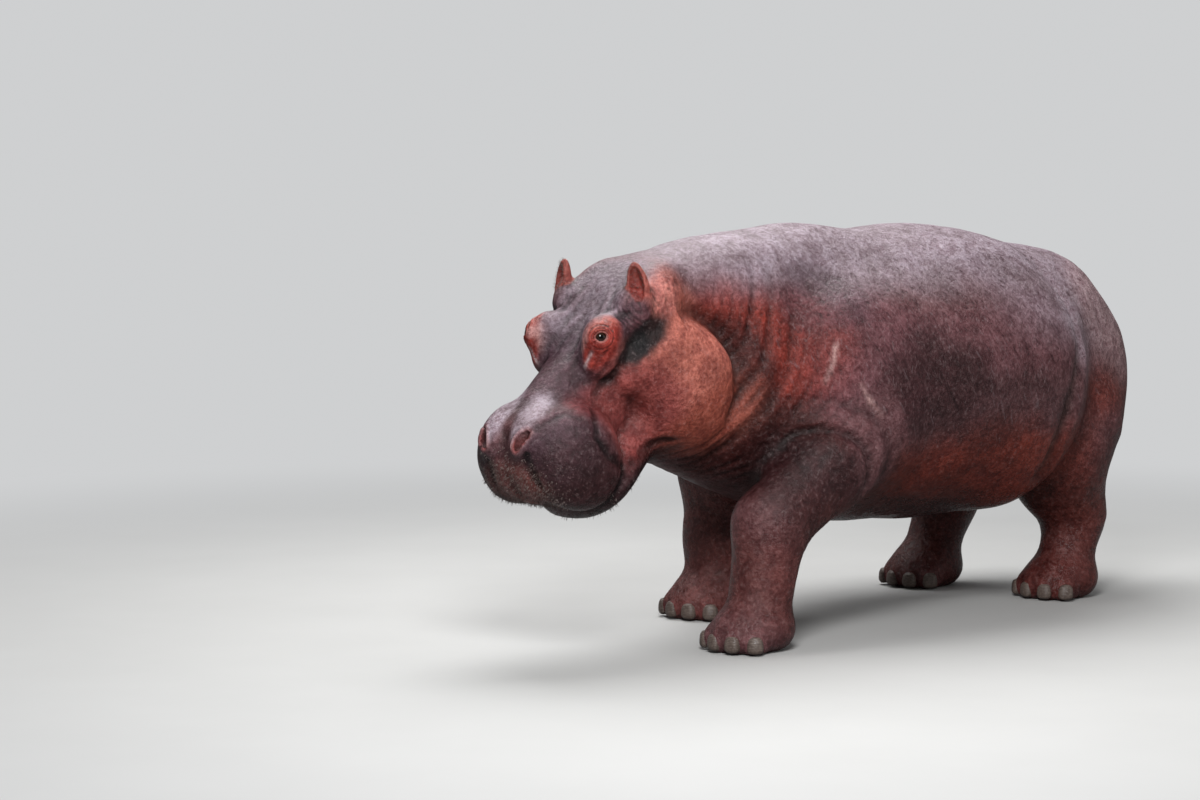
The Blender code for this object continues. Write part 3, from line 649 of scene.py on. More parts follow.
mesh = bpy.data.meshes.new("skin")
mesh.from_pydata(points.tolist(), [], quads.tolist())
shape = bmesh.new()
shape.from_mesh(mesh)
shape.verts.index_update()
HALVED = ((eyes, 0.060), (noses, 0.055), (ear_tops, 0.16), (eyes, 0.047), (noses, 0.040), (eyes, 0.034))
print("edges halved:", *[split(shape, centres, reach) for centres, reach in HALVED])
shape.to_mesh(mesh)
shape.free()


# %% Read and write vertex places
def read_places(mesh):
    """All vertex places of a mesh as one array."""
    flat = np.empty(len(mesh.vertices) * 3)
    mesh.vertices.foreach_get("co", flat)
    return flat.reshape(-1, 3)


def write_places(mesh, places):
    """All vertex places of a mesh set from one array."""
    mesh.vertices.foreach_set("co", np.ascontiguousarray(places, dtype=np.float32).ravel())
    mesh.update()


def edge_ends(mesh):
    """The first and the second vertex number of every edge."""
    flat = np.empty(len(mesh.edges) * 2, int)
    mesh.edges.foreach_get("vertices", flat)
    return flat.reshape(-1, 2).T


# %% Even out the vertices along the surface
def vertex_mean(ends, size, to_first, to_second):
    """Mean at each vertex of what its edges bring to their first and to their second end."""
    first, second = ends
    met = np.bincount(first, minlength=size) + np.bincount(second, minlength=size)
    return (np.bincount(first, to_first, size) + np.bincount(second, to_second, size)) / met


def neighbour_mean(ends, values):
    """Mean over each vertex's neighbours."""
    return vertex_mean(ends, len(values), values[ends[1]], values[ends[0]])


def neighbour_middle(ends, places):
    """Mean place of each vertex's neighbours."""
    return np.stack([neighbour_mean(ends, places[:, axis]) for axis in range(3)], -1)


def normals_of(field, places):
    """The slope of the distance, made one long."""
    return unit(slope_of(field, places, field(places)))


def evened(ends, places, share, rounds, chosen):
    """Each chosen vertex moved by a share towards its neighbours' mean, but only along the surface."""
    for _ in range(rounds):
        step = (neighbour_middle(ends, places) - places)[chosen]
        normal = normals_of(skin_distance, places[chosen])
        places = places.copy()
        places[chosen] += share * (step - (step * normal).sum(-1, keepdims=True) * normal)
    return places


ends = edge_ends(mesh)
places = settle(skin_distance, read_places(mesh), rounds=3, reach=0.006)
places = evened(ends, places, share=0.5, rounds=2, chosen=np.full(len(places), True))
places = settle(skin_distance, places, rounds=2, reach=0.006)
near_eye = np.any([within(places, centre, reach=0.046) for centre in eyes], axis=0)
for _ in range(4):
    places = evened(ends, places, share=0.6, rounds=5, chosen=near_eye)
    places[near_eye] = settle(skin_distance, places[near_eye], rounds=2, reach=0.003)
print("skin:", len(places), "vertices", sum(len(p.vertices) - 2 for p in mesh.polygons), "triangles")

# %% [markdown]
# ## Wrinkles and the small unevenness of hide
#
# Below the folds comes a finer order: rings of wrinkles round the neck, puckers over the knees and
# under the throat, pleats in front of the ears and at the corner of the eye, and a faint lumpiness
# everywhere. They are only millimetres deep, so they push the vertices in and out along the normal.
# Noise breaks their regularity: a value is drawn for each corner of a grid in space, always the same
# for the same corner, and blended between corners.

# %% Noise from corner values
def drawn(cell, seed):
    """A fixed value from -1 to 1 for each grid corner, by mixing its three numbers."""
    mixed = (cell[:, 0] * 73856093) ^ (cell[:, 1] * 19349663) ^ (cell[:, 2] * 83492791) ^ (seed * 2654435)
    mixed = (mixed ^ (mixed >> 13)) * 1274126177
    return ((mixed ^ (mixed >> 16)) & 0xffff) / 32767.5 - 1.0


def noise(points, size, seed=0):
    """Corner values blended by an ease curve; size is the width of a lump in metres."""
    scaled = points / size
    cell = np.floor(scaled).astype(np.int64)
    part = scaled - cell
    ease = part * part * part * (part * (part * 6 - 15) + 10)
    total = np.zeros(len(points))
    for corner in np.ndindex(2, 2, 2):
        weight = np.prod(np.where(corner, ease, 1 - ease), axis=-1)
        total += weight * drawn(cell + np.array(corner), seed)
    return total


def cloud(points, size, seed=0):
    """Noise plus half of a noise twice as fine, plus a quarter of the next."""
    return (noise(points, size, seed) + 0.5 * noise(points, size / 2, seed + 1)
            + 0.25 * noise(points, size / 4, seed + 2)) / 1.75


# %% Soft regions and the wrinkles in them
def patch(points, centre, radii, soft=0.35):
    """1 inside an ellipsoid and 0 outside, eased over a soft rim."""
    far = np.sqrt((((points - np.array(centre)) / np.array(radii)) ** 2).sum(-1))
    return smooth((1 + soft - far) / (2 * soft))


def rings(points, x, z, spacing, bend, seed):
    """Valleys: (1 - |sin|) squared of the distance from a line across the body, bent by noise."""
    far = np.hypot(points[:, 0] - x, points[:, 2] - z) + bend * noise(points, 0.16, seed)
    return (1 - np.abs(np.sin(np.pi * far / spacing))) ** 2


# Wrinkled regions: centre, half sizes, the line they ring (x, z), spacing, bend, depth
WRINKLES = (
    ((-0.92, 0.30, 1.00), (0.26, 0.30, 0.31), (-1.90, 1.55), 0.044, 0.022, 0.0080),
    ((-0.90, 0.30, 1.00), (0.24, 0.30, 0.28), (-1.95, 1.50), 0.025, 0.026, 0.0040),
    ((-0.98, 0.20, 0.76), (0.28, 0.26, 0.20), (-1.30, 1.15), 0.042, 0.020, 0.0075),
    ((-0.66, 0.40, 0.74), (0.24, 0.22, 0.18), (-0.35, 0.35), 0.038, 0.025, 0.0060),
    ((-0.66, 0.40, 0.46), (0.26, 0.25, 0.16), (-0.30, 0.60), 0.034, 0.015, 0.0045),
    ((0.95, 0.35, 0.42), (0.30, 0.25, 0.18), (0.60, 0.70), 0.036, 0.015, 0.0045),
    ((0.30, 0.55, 0.62), (0.80, 0.35, 0.22), (2.50, 1.30), 0.050, 0.060, 0.0025),
    ((-0.30, 0.45, 1.25), (0.60, 0.35, 0.20), (-2.20, 0.30), 0.045, 0.060, 0.0014),
)


def wrinkled(points):
    """Depth of the wrinkles, and how far into a valley each point lies, from 0 to 1."""
    pair = one_side(points)
    uneven = 0.65 + 0.35 * noise(points, 0.09, 5)
    off_cheek = 1 - patch(to_head(points) * [1, 0, 1], (0.13, 0.0, -0.37), (0.245, 1.0, 0.245), 0.1)
    depth, valley = np.zeros(len(points)), np.zeros(len(points))
    for seed, (centre, radii, line_at, spacing, bend, deep) in enumerate(WRINKLES):
        here = off_cheek * patch(pair, centre, radii, 0.4) * uneven
        here = here * rings(points, *line_at, spacing, bend, seed)
        depth += deep * here
        valley = np.maximum(valley, here * min(1.0, deep / 0.006))
    return depth, valley


# Rougher places of the head: centre, half sizes, height, noise and its lump width and seed
LUMPY = {
    "temple": ((0.0, 0.185, -0.10), (0.10, 0.06, 0.08), 0.0028, noise, 0.018, 10),
    "brow": ((0.12, 0.06, 0.0), (0.20, 0.12, 0.06), 0.0030, cloud, 0.045, 11),
    "lips": ((0.52, 0.22, -0.36), (0.18, 0.12, 0.16), 0.0022, noise, 0.020, 12),
    "eye_corner": ((0.262, 0.185, -0.012), (0.042, 0.035, 0.050), 0.0024, noise, 0.011, 13),
}
PLEAT_SPACING, PLEAT_HEIGHT = 0.017, 0.0009


def relief(points):
    """Height of the small forms over the smooth skin, in metres: lumps, warts and puckered lips."""
    q = head_side(points)
    height = 0.0016 * noise(points, 0.07, 1) + 0.0028 * noise(points, 0.20, 2)
    for centre, radii, high, kind, size, seed in LUMPY.values():
        height += high * patch(q, centre, radii, 0.4) * kind(points, size, seed)
    ear_far = np.linalg.norm((q - (0.125, 0.200, -0.02)) * (1.0, 1.0, 0.5), axis=1)
    pleats = np.sin((ear_far + 0.008 * noise(points, 0.05, 14)) * 2 * np.pi / PLEAT_SPACING)
    height += PLEAT_HEIGHT * pleats * patch(q, (0.12, 0.180, -0.035), (0.085, 0.080, 0.070), 0.5)
    return height * (1.0 - patch(q, EYE_AT, (0.036, 0.036, 0.036), 0.45))


normals = normals_of(skin_distance, places)
sunk, valleys = wrinkled(places)
heights = relief(places) - sunk
above_floor = smooth(places[:, 2] / 0.03)
places = places + normals * (heights * above_floor)[:, None]
write_places(mesh, places + shift)
print("relief from", round(heights.min() * 1000, 1), "to", round(heights.max() * 1000, 1), "mm")


# %% Measure where the relief is hollow
def hollowness(ends, places, normals, rounds):
    """How far the neighbours' mean stands out from each vertex, over the edge length squared."""
    length = np.linalg.norm(places[ends[0]] - places[ends[1]], axis=1)
    spacing = vertex_mean(ends, len(places), length, length)
    hollow = ((neighbour_middle(ends, places) - places) * normals).sum(-1) / spacing ** 2
    for _ in range(rounds):
        hollow = 0.5 * hollow + 0.5 * neighbour_mean(ends, hollow)
    return hollow


hollow = hollowness(ends, places, normals, rounds=3)
print("hollowness from", np.round(np.percentile(hollow, [2, 50, 98]), 2))

# %% [markdown]
# ## Colours of the hide
#
# The back is slate with a mauve cast, paler for a painted sheen, the flanks umber, and wherever the
# hide folds or rests on itself, on the cheeks, neck, belly and round eyes and ears, it turns brick red
# to pink. Such fields could be painted by hand in Texture Paint. Here each is a soft ellipsoid with a
# colour, laid over the last one like a glaze, its edge broken by noise, and the result is stored on the
# vertices. Some glazes are painted shade, under the belly and the chin and on the neck and chest, and
# some painted highlights, on the bridge of the nose and the fold behind the belly. Dark lines of
# painted shade follow the grooves, painted shade fills the hollows, and two pale scars cross the
# shoulder. The fine grain and the folds round the eyes, too small for the vertices, come later in the
# material.


# %% Mixing paints
def chip(red, green, blue):
    """A colour as on a paint chip, 0 to 255, made linear for the renderer."""
    tone = np.array([red, green, blue]) / 255.0
    return np.where(tone > 0.04045, ((tone + 0.055) / 1.055) ** 2.4, tone / 12.92)


SLATE_AND_SHEEN = chip(150, 136, 145)
PAINTED_HIGHLIGHT = chip(186, 174, 184)
UMBER = chip(106, 72, 74)
MAUVE = chip(124, 78, 84)
PLUM = chip(70, 48, 58)
SMUDGE_AND_SHADE = chip(56, 28, 30)
CLAY = chip(184, 106, 90)
BRICK = chip(138, 50, 38)
RUST = chip(128, 50, 34)
ROSE = chip(150, 74, 74)
PINK = chip(206, 134, 124)
PAINTED_SHADE = chip(66, 24, 20)
BLACK_AND_SHADE = chip(17, 13, 17)
BONE = chip(196, 184, 184)

# Over the body, in order: colour, share, centre, half sizes
BODY_GLAZES = (
    (RUST, 0.90, (0.30, 0.45, 0.50), (1.00, 0.60, 0.24)),
    (MAUVE, 0.70, (-0.50, 0.50, 1.02), (0.30, 0.30, 0.30)),
    (MAUVE, 0.45, (0.30, 0.50, 1.05), (0.60, 0.30, 0.16)),
    (SMUDGE_AND_SHADE, 0.78, (-0.22, 0.55, 0.92), (0.28, 0.30, 0.18)),
    (SMUDGE_AND_SHADE, 0.30, (0.20, 0.55, 0.80), (0.36, 0.30, 0.13)),
    (RUST, 0.65, (1.00, 0.40, 0.86), (0.26, 0.35, 0.22)),
    (UMBER, 0.80, (1.08, 0.35, 0.62), (0.30, 0.35, 0.18)),
    (chip(128, 64, 60), 0.70, (-0.60, 0.30, 0.36), (0.40, 0.22, 0.22)),
    (BRICK, 0.92, (-0.95, 0.32, 1.09), (0.27, 0.30, 0.33)),
    (BRICK, 0.60, (-0.74, 0.38, 1.10), (0.19, 0.30, 0.24)),
    # Painted shade on the neck behind the cheek and on the chest below it
    (PAINTED_SHADE, 0.88, (-0.96, 0.27, 0.90), (0.13, 0.30, 0.28)),
    (PAINTED_SHADE, 0.90, (-0.84, 0.28, 0.70), (0.40, 0.34, 0.19)),
    # The hide's slate grey over the back, made paler by a painted sheen
    (SLATE_AND_SHEEN, 0.95, (0.20, 0.0, 1.50), (1.45, 0.60, 0.30)),
    (SLATE_AND_SHEEN, 0.88, (-0.75, 0.0, 1.49), (0.50, 0.34, 0.22)),
    (SLATE_AND_SHEEN, 0.60, (0.70, 0.30, 1.22), (0.55, 0.40, 0.30)),
    (chip(180, 152, 154), 0.72, (1.16, 0.30, 1.14), (0.32, 0.40, 0.26)),
    # A painted highlight on the fold behind the belly, high on the flank
    (PAINTED_HIGHLIGHT, 0.30, (0.72, 0.45, 1.16), (0.16, 0.30, 0.28)),
    (PLUM, 0.55, (-0.60, 0.32, 1.24), (0.18, 0.24, 0.13)),
    # Painted shade under the belly
    (SMUDGE_AND_SHADE, 0.85, (-0.05, 0.0, 0.38), (1.05, 0.40, 0.20)),
    (SMUDGE_AND_SHADE, 0.90, (-0.74, 0.42, 0.58), (0.30, 0.24, 0.19)),
    (UMBER, 0.75, (-0.52, 0.50, 0.70), (0.12, 0.24, 0.20)),
    (chip(104, 56, 52), 0.90, (-0.60, 0.34, 0.24), (0.60, 0.30, 0.30)),
    (chip(94, 44, 38), 0.90, (0.98, 0.32, 0.24), (0.55, 0.30, 0.34)),
)
# Over the head, in its own axes
HEAD_GLAZES = (
    (UMBER, 0.85, (0.40, 0.0, -0.20), (0.70, 0.35, 0.40)),
    (CLAY, 0.95, (0.09, 0.25, -0.36), (0.32, 0.22, 0.34)),
    (chip(146, 70, 66), 0.90, (0.36, 0.20, -0.30), (0.19, 0.18, 0.20)),
    (chip(160, 76, 56), 0.60, (0.15, 0.25, -0.54), (0.28, 0.20, 0.12)),
    (ROSE, 0.70, (0.505, 0.150, -0.130), (0.09, 0.07, 0.06)),
    (CLAY, 0.80, (-0.12, 0.20, -0.20), (0.20, 0.14, 0.18)),
    (chip(128, 116, 126), 0.85, (0.12, 0.0, 0.0), (0.26, 0.17, 0.11)),
    (PLUM, 0.80, (0.45, 0.0, -0.05), (0.22, 0.14, 0.12)),
    # A painted highlight along the bridge of the nose, above the nostrils
    (PAINTED_HIGHLIGHT, 0.70, (0.66, 0.070, -0.040), (0.12, 0.050, 0.06)),
    (PLUM, 0.92, (0.70, 0.15, -0.20), (0.18, 0.17, 0.16)),
    (SMUDGE_AND_SHADE, 0.70, (0.70, 0.17, -0.24), (0.17, 0.15, 0.14)),
    (SMUDGE_AND_SHADE, 0.85, (0.70, 0.14, -0.36), (0.22, 0.20, 0.13)),
    (chip(140, 84, 76), 0.65, (0.83, 0.0, -0.24), (0.06, 0.15, 0.12)),
    # Painted shade under the chin and jaw
    (BLACK_AND_SHADE, 0.90, (0.52, 0.0, -0.54), (0.28, 0.28, 0.12)),
    (PLUM, 0.85, (0.160, 0.200, -0.040), (0.090, 0.060, 0.062)),
    (BLACK_AND_SHADE, 0.95, (0.150, 0.225, -0.122), (0.095, 0.075, 0.050)),
    (BLACK_AND_SHADE, 0.95, (0.235, 0.205, -0.116), (0.085, 0.065, 0.042)),
    (BLACK_AND_SHADE, 0.70, (0.350, 0.150, -0.150), (0.050, 0.050, 0.030)),
    (PINK, 0.55, (0.010, 0.205, -0.070), (0.080, 0.060, 0.075)),
)


def glazed(paint, points, glazes, warp):
    """Each glaze moves the paint towards its colour by its share times its region."""
    for colour, share, centre, radii in glazes:
        region = patch(points + warp, centre, radii, 0.32)
        paint = paint + (colour - paint) * (share * region)[:, None]
    return paint


def tint(paint, colour, share):
    """Paint moved towards a colour by a share."""
    return paint + (colour - paint) * share[:, None]


# %% Lay the glazes
side_by_side = one_side(places)
face = head_side(places)
body_warp = 0.06 * np.stack([cloud(places, 0.22, seed) for seed in (20, 23, 26)], -1)
face_warp = 0.012 * np.stack([cloud(places, 0.05, seed) for seed in (30, 33, 36)], -1)
paint = np.tile(UMBER, (len(places), 1))
paint = glazed(paint, side_by_side, BODY_GLAZES, body_warp)
on_head = smooth((face[:, 0] + 0.16) / 0.12)[:, None] * smooth((0.75 + face[:, 2]) / 0.1)[:, None]
paint = paint + (glazed(paint, face, HEAD_GLAZES, face_warp) - paint) * on_head
print("glazes:", len(BODY_GLAZES) + len(HEAD_GLAZES))

# %% Painted shade along the grooves, pale scars, and painted shade behind the cheek
# Dark lines of painted shade along the narrow grooves of the face, darker in the deep ones
for path, width, depth in GROOVES.values():
    if depth > 0 and width < 0.02:
        paint = tint(paint, BLACK_AND_SHADE, (0.45 if depth > 0.010 else 0.20) * line(face, path, width))
SHOULDER_SCAR = ((-0.622, 0.412, 1.076), (-0.640, 0.412, 1.010), (-0.674, 0.410, 0.944))
FLANK_SCRATCH = ((-0.552, 0.477, 0.93), (-0.530, 0.500, 0.87), (-0.495, 0.515, 0.82))
broken = 0.35 + 0.65 * smooth(0.5 + 1.2 * noise(places, 0.03, 21))
for scar in (SHOULDER_SCAR, FLANK_SCRATCH):
    paint = tint(paint, chip(214, 178, 172), 0.90 * broken * line(side_by_side, scar, 0.0085))
# Painted shade: a dark red band on the neck behind the lower rim of the cheek
(cheek_x, cheek_z), cheek_radius = JOWL_CREASE[:2]
behind_cheek = bell(np.hypot(face[:, 0] - cheek_x, face[:, 2] - cheek_z) - cheek_radius - 0.03, 0.045)
behind_cheek = behind_cheek * smooth((0.05 - face[:, 0]) / 0.15) * smooth((-0.20 - face[:, 2]) / 0.15)
paint = tint(paint, PAINTED_SHADE, 0.85 * behind_cheek)
print("share behind the cheek:", round(float(behind_cheek.mean()), 4))

# %% Round the eyes: a red swelling, paler above and behind, and the pale line that tears leave
local_eye = to_eye(face)
leaning = local_eye + face_warp
leaning[:, 0] -= 0.40 * leaning[:, 1]
outer_side = smooth((local_eye[:, 2] + 0.056) / 0.028)
mound = patch(leaning, (0.006, -0.022, 0.0), (0.080, 0.090, 0.075), 0.26) * outer_side
paint = tint(paint, chip(150, 54, 44), 0.94 * mound)
paint = tint(paint, chip(186, 106, 92), 0.60 * mound * smooth((local_eye[:, 1] - 0.012) / 0.03))
behind_eye = patch(leaning, (-0.058, 0.0, -0.01), (0.010, 0.060, 0.040), 0.8)
paint = tint(paint, chip(224, 176, 170), 0.65 * behind_eye)
TEAR_PATH = ((0.318, 0.173, 0.004), (0.334, 0.165, -0.005), (0.355, 0.151, -0.021),
             (0.375, 0.134, -0.041), (0.388, 0.116, -0.063))
paint = tint(paint, BONE, 0.72 * line(face, TEAR_PATH, 0.0055))
rim, above_eye, in_front = about_lids(local_eye)
in_front = in_front * within(face, EYE_AT, reach=0.07)
print("vertices in front of the lids:", int((in_front > 0.5).sum()))

# %% Nostrils, painted shade on the mouth line, a painted highlight on the fold behind the belly, and painted shade in every hollow
slot = ellipsoid(mirrored(face), *NOSTRIL)
paint = tint(paint, chip(190, 150, 148), 0.6 * bell(slot - 0.005, 0.005))
paint = tint(paint, chip(130, 46, 38), smooth((0.002 - slot) / 0.004))
# Painted shade along the mouth line, where the upper and lower head part
lip_gap = blended(UPPER_HEAD, face) - blended(LOWER_HEAD, face)
paint = tint(paint, BLACK_AND_SHADE, 0.9 * bell(lip_gap, 0.018) * smooth((face[:, 0] - 0.45) / 0.1))
# A pale line of painted highlight along the front of the fold behind the belly
on_flank = smooth((1.36 - places[:, 2]) / 0.2) * smooth((places[:, 2] - 0.45) / 0.15)
on_flank = on_flank * (side_by_side[:, 1] > 0.25)
paint = tint(paint, chip(150, 120, 112), 0.28 * line(side_by_side * [1, 0, 1], FLANK_FOLD, 0.022) * on_flank)
# Painted shade in the wrinkle valleys and in every hollow, and painted light on the ridges
paint = paint * (1 - 0.50 * valleys)[:, None]
paint = paint * np.clip(1.0 - 0.050 * hollow, 0.42, 1.35)[:, None]
print("mean colour of the hide:", np.round(paint.mean(axis=0), 3))

# %% Ears: red inside, darker at the bottom of the hollow
for side in (1, -1):
    local = in_ear(places, side)
    part = smooth((0.004 - ellipsoid(local, *EAR_AROUND)) / 0.008) * smooth((local[:, 2] - 0.055) / 0.03)
    inner = part * smooth((0.004 - ellipsoid(local, *EAR_HOLLOW)) / 0.006)
    depths = smooth((0.115 - local[:, 2]) / 0.05) * smooth((0.012 - local[:, 1]) / 0.02)
    paint = tint(paint, chip(176, 92, 80), 0.9 * part)
    paint = tint(paint, chip(140, 50, 42), 0.85 * inner)
    paint = tint(paint, chip(64, 24, 24), 0.85 * inner * depths)
    print("vertices on an ear:", int((part > 0.5).sum()))


# %% Store colour and traits on the vertices
def store(mesh, name, *channels):
    """A colour attribute with up to four numbers for each vertex; those not given are 1."""
    full = np.ones((len(mesh.vertices), 4), dtype=np.float32)
    full[:, :len(channels)] = np.stack(channels, axis=-1)
    mesh.color_attributes.new(name=name, type="FLOAT_COLOR", domain="POINT")
    mesh.color_attributes[name].data.foreach_set("color", full.ravel())


LIDS_REACH = 0.04
wet = np.maximum(smooth((0.62 - places[:, 2]) / 0.25), patch(face, (0.62, 0.0, -0.45), (0.35, 0.35, 0.16)))
rough_hide = np.clip(0.35 + 0.65 * patch(side_by_side, (0.5, 0.5, 0.9), (1.3, 0.6, 0.6))
                     - 0.3 * patch(face, (0.66, 0.12, -0.22), (0.2, 0.2, 0.2)), 0, 1)
freckled = np.maximum(patch(face, (0.08, 0.25, -0.38), (0.34, 0.25, 0.36)),
                      0.8 * patch(side_by_side, (-0.85, 0.32, 1.0), (0.45, 0.3, 0.4)))
streaked = patch(side_by_side, (0.20, 0.45, 1.15), (1.2, 0.5, 0.45))
pored = patch(face, (0.80, 0.0, -0.24), (0.14, 0.24, 0.16), 0.3)
store(mesh, "paint", *paint.T)
store(mesh, "traits", wet, rough_hide, freckled)
store(mesh, "marks", streaked, pored)
store(mesh, "lids", np.clip(rim / LIDS_REACH, -0.25, 1.0), above_eye, in_front)
print("wet share:", round(float(wet.mean()), 2), "freckled share:", round(float(freckled.mean()), 2))

# %% [markdown]
# ## The hide's material
#
# Wet hide is dark with a soft shine, dry hide is matt and a network of fine cracks crosses it. One
# material does both: the colour from the vertices is broken up by noise at three scales, freckled
# where the red shows, and scratched with pale and dark strokes on the flank. Cracks come from the
# borders of a Voronoi pattern, bent by noise, and the same pattern drives the bump, so that each dark
# line also lies deeper. The folds of the lids are drawn here too, as painted shade: the vertices carry
# only the distance from the lid's edge, which changes evenly over a face, and each fold is a dark
# narrow band of it.


# %% Short words for nodes
def add(tree, kind, links=None, **settings):
    """A node with its settings; links give an input by name or number a value or another socket."""
    made = tree.nodes.new(kind)
    for key, value in settings.items():
        setattr(made, key, value)
    for key, value in (links or {}).items():
        if isinstance(value, bpy.types.NodeSocket):
            tree.links.new(value, made.inputs[key])
        else:
            made.inputs[key].default_value = value
    return made


def maths(tree, operation, a, b=0.0, c=0.0):
    """One sum on numbers or sockets."""
    return add(tree, "ShaderNodeMath", {0: a, 1: b, 2: c}, operation=operation).outputs[0]


def times(tree, a, b):
    """Two numbers or sockets multiplied."""
    return maths(tree, "MULTIPLY", a, b)


def ramp(tree, value, low, high, to_low=0.0, to_high=1.0):
    """A value eased from one range to another."""
    return add(tree, "ShaderNodeMapRange", {"Value": value, "From Min": low, "From Max": high,
                                            "To Min": to_low, "To Max": to_high},
               interpolation_type="SMOOTHSTEP").outputs["Result"]


def blend_colour(tree, kind, share, a, b):
    """Two colours mixed in a way such as MIX or MULTIPLY."""
    made = add(tree, "ShaderNodeMix", {"Factor": share, 6: a, 7: b}, data_type="RGBA", blend_type=kind)
    return made.outputs[2]


def layered(tree, colour, layers):
    """Layers of kind, share and tone laid over a colour in their order."""
    for kind, share, tone in layers:
        colour = blend_colour(tree, kind, share, colour, (*tone, 1.0))
    return colour


def stored(tree, name):
    """The three numbers of a vertex colour attribute."""
    kept = add(tree, "ShaderNodeVertexColor", layer_name=name).outputs["Color"]
    return add(tree, "ShaderNodeSeparateColor", {0: kept}).outputs


def cells_of(tree, where, scale, feature="F1"):
    """Voronoi distance of so many cells to the metre: from their centres, or from their borders."""
    made = add(tree, "ShaderNodeTexVoronoi", {"Vector": where, "Scale": scale}, feature=feature)
    return made.outputs["Distance"]


def grain(tree, where, scale, detail=4.0, roughness=0.55):
    """Noise value of so many lumps to the metre."""
    return add(tree, "ShaderNodeTexNoise", {"Vector": where, "Scale": scale, "Detail": detail,
                                            "Roughness": roughness}).outputs[0]


def new_material(name, roughness):
    """A material with its shader and the place on the object."""
    made = bpy.data.materials.new(name)
    made.use_nodes = True
    tree = made.node_tree
    shader = tree.nodes["Principled BSDF"]
    shader.inputs["Roughness"].default_value = roughness
    return made, tree, shader, add(tree, "ShaderNodeTexCoord").outputs["Object"]


# %% Hide, its colour
hide, tree, shader, where = new_material("hide", 0.5)
base = add(tree, "ShaderNodeVertexColor", layer_name="paint").outputs["Color"]
wetness, cracked, freckles = stored(tree, "traits")[:3]
streaks, pores = stored(tree, "marks")[:2]
broad = grain(tree, where, 6.0, 4.0)
blotch = grain(tree, where, 21.0, 6.0, 0.68)
mottle = grain(tree, where, 64.0, 5.0, 0.70)
fine = grain(tree, where, 200.0, 3.0, 0.7)
drift = add(tree, "ShaderNodeCombineColor", {
    0: ramp(tree, broad, 0.3, 0.7, 0.84, 1.26), 1: ramp(tree, broad, 0.3, 0.7, 0.80, 1.28),
    2: ramp(tree, broad, 0.3, 0.7, 0.80, 1.30)})
colour = layered(tree, blend_colour(tree, "MULTIPLY", 1.0, base, drift.outputs[0]), (
    ("MULTIPLY", ramp(tree, blotch, 0.38, 0.58, 0.80, 0.0), (0.54, 0.44, 0.46)),
    ("MULTIPLY", ramp(tree, mottle, 0.38, 0.56, 0.75, 0.0), (0.56, 0.46, 0.46)),
    ("SCREEN", ramp(tree, mottle, 0.52, 0.70, 0.0, 0.30), (0.22, 0.17, 0.17))))
print("hide: paint broken by noise of 160, 48 and 16 mm")

# %% Hide, its cracks and freckles
swirl = add(tree, "ShaderNodeTexNoise", {"Vector": where, "Scale": 30.0, "Detail": 2.0}).outputs["Color"]
swirl = add(tree, "ShaderNodeVectorMath", {0: swirl, "Scale": 0.014}, operation="SCALE").outputs[0]
bent = add(tree, "ShaderNodeVectorMath", {0: where, 1: swirl}, operation="ADD").outputs[0]
crack_far = cells_of(tree, bent, 62.0, "DISTANCE_TO_EDGE")
patchy = ramp(tree, blotch, 0.42, 0.60)
crack = times(tree, ramp(tree, crack_far, 0.0, 0.08, 1.0, 0.0), times(tree, cracked, patchy))
spot = ramp(tree, cells_of(tree, bent, 120.0), 0.14, 0.30, 1.0, 0.0)
spot = times(tree, spot, times(tree, freckles, patchy))
colour = layered(tree, colour, (("MULTIPLY", times(tree, crack, 0.30), (0.34, 0.26, 0.26)),
                                ("MULTIPLY", times(tree, spot, 0.65), (0.30, 0.22, 0.24))))
print("hide: cracks 16 mm apart, freckles 8 mm apart")


# %% Hide, its strokes
def stretched(tree, where, lean, across, along):
    """Places turned about the side axis, then scaled, so that noise on them draws slanting strokes."""
    turned = add(tree, "ShaderNodeMapping", {"Vector": where, "Rotation": (0.0, lean, 0.0)}).outputs[0]
    scale = (across, across * 0.6, along)
    return add(tree, "ShaderNodeMapping", {"Vector": turned, "Scale": scale}).outputs[0]


steep = grain(tree, stretched(tree, where, 0.42, 85.0, 9.0), 1.0, 3.0, 0.6)
flat = grain(tree, stretched(tree, where, -0.30, 130.0, 20.0), 1.0, 3.0, 0.6)
colour = layered(tree, colour, (
    ("MIX", times(tree, ramp(tree, steep, 0.60, 0.72), times(tree, streaks, 0.30)), (0.34, 0.26, 0.28)),
    ("MULTIPLY", times(tree, ramp(tree, steep, 0.43, 0.31), times(tree, streaks, 0.80)), (0.38, 0.30, 0.32)),
    ("MIX", times(tree, ramp(tree, flat, 0.60, 0.72), times(tree, streaks, 0.22)), (0.40, 0.31, 0.32))))
print("hide: strokes 110 and 50 mm long")


# %% Hide, painted shade in the folds round the eyes, and the pits of the muzzle
def band(tree, value, middle, half):
    """1 where the value is the middle one, easing to 0 at half a band's width on each side."""
    return times(tree, ramp(tree, value, middle - half, middle),
                 ramp(tree, value, middle, middle + half, 1.0, 0.0))


from_edge, above, front = stored(tree, "lids")[:3]
from_edge = times(tree, from_edge, LIDS_REACH * 1000)
wobbly = maths(tree, "ADD", from_edge, ramp(tree, grain(tree, where, 90.0, 2.0), 0.2, 0.8, -1.6, 1.6))
upper = times(tree, above, front)
lower = maths(tree, "SUBTRACT", front, upper)
outer_folds = maths(tree, "ADD", band(tree, wobbly, 16.0, 2.6), band(tree, wobbly, 26.0, 3.0))
outer_folds = times(tree, outer_folds, maths(tree, "MULTIPLY_ADD", upper, 0.5, times(tree, front, 0.25)))
creases = maths(tree, "ADD", times(tree, band(tree, wobbly, 8.0, 2.2), upper), outer_folds)
dot = times(tree, ramp(tree, cells_of(tree, where, 105.0), 0.10, 0.26, 1.0, 0.0), pores)
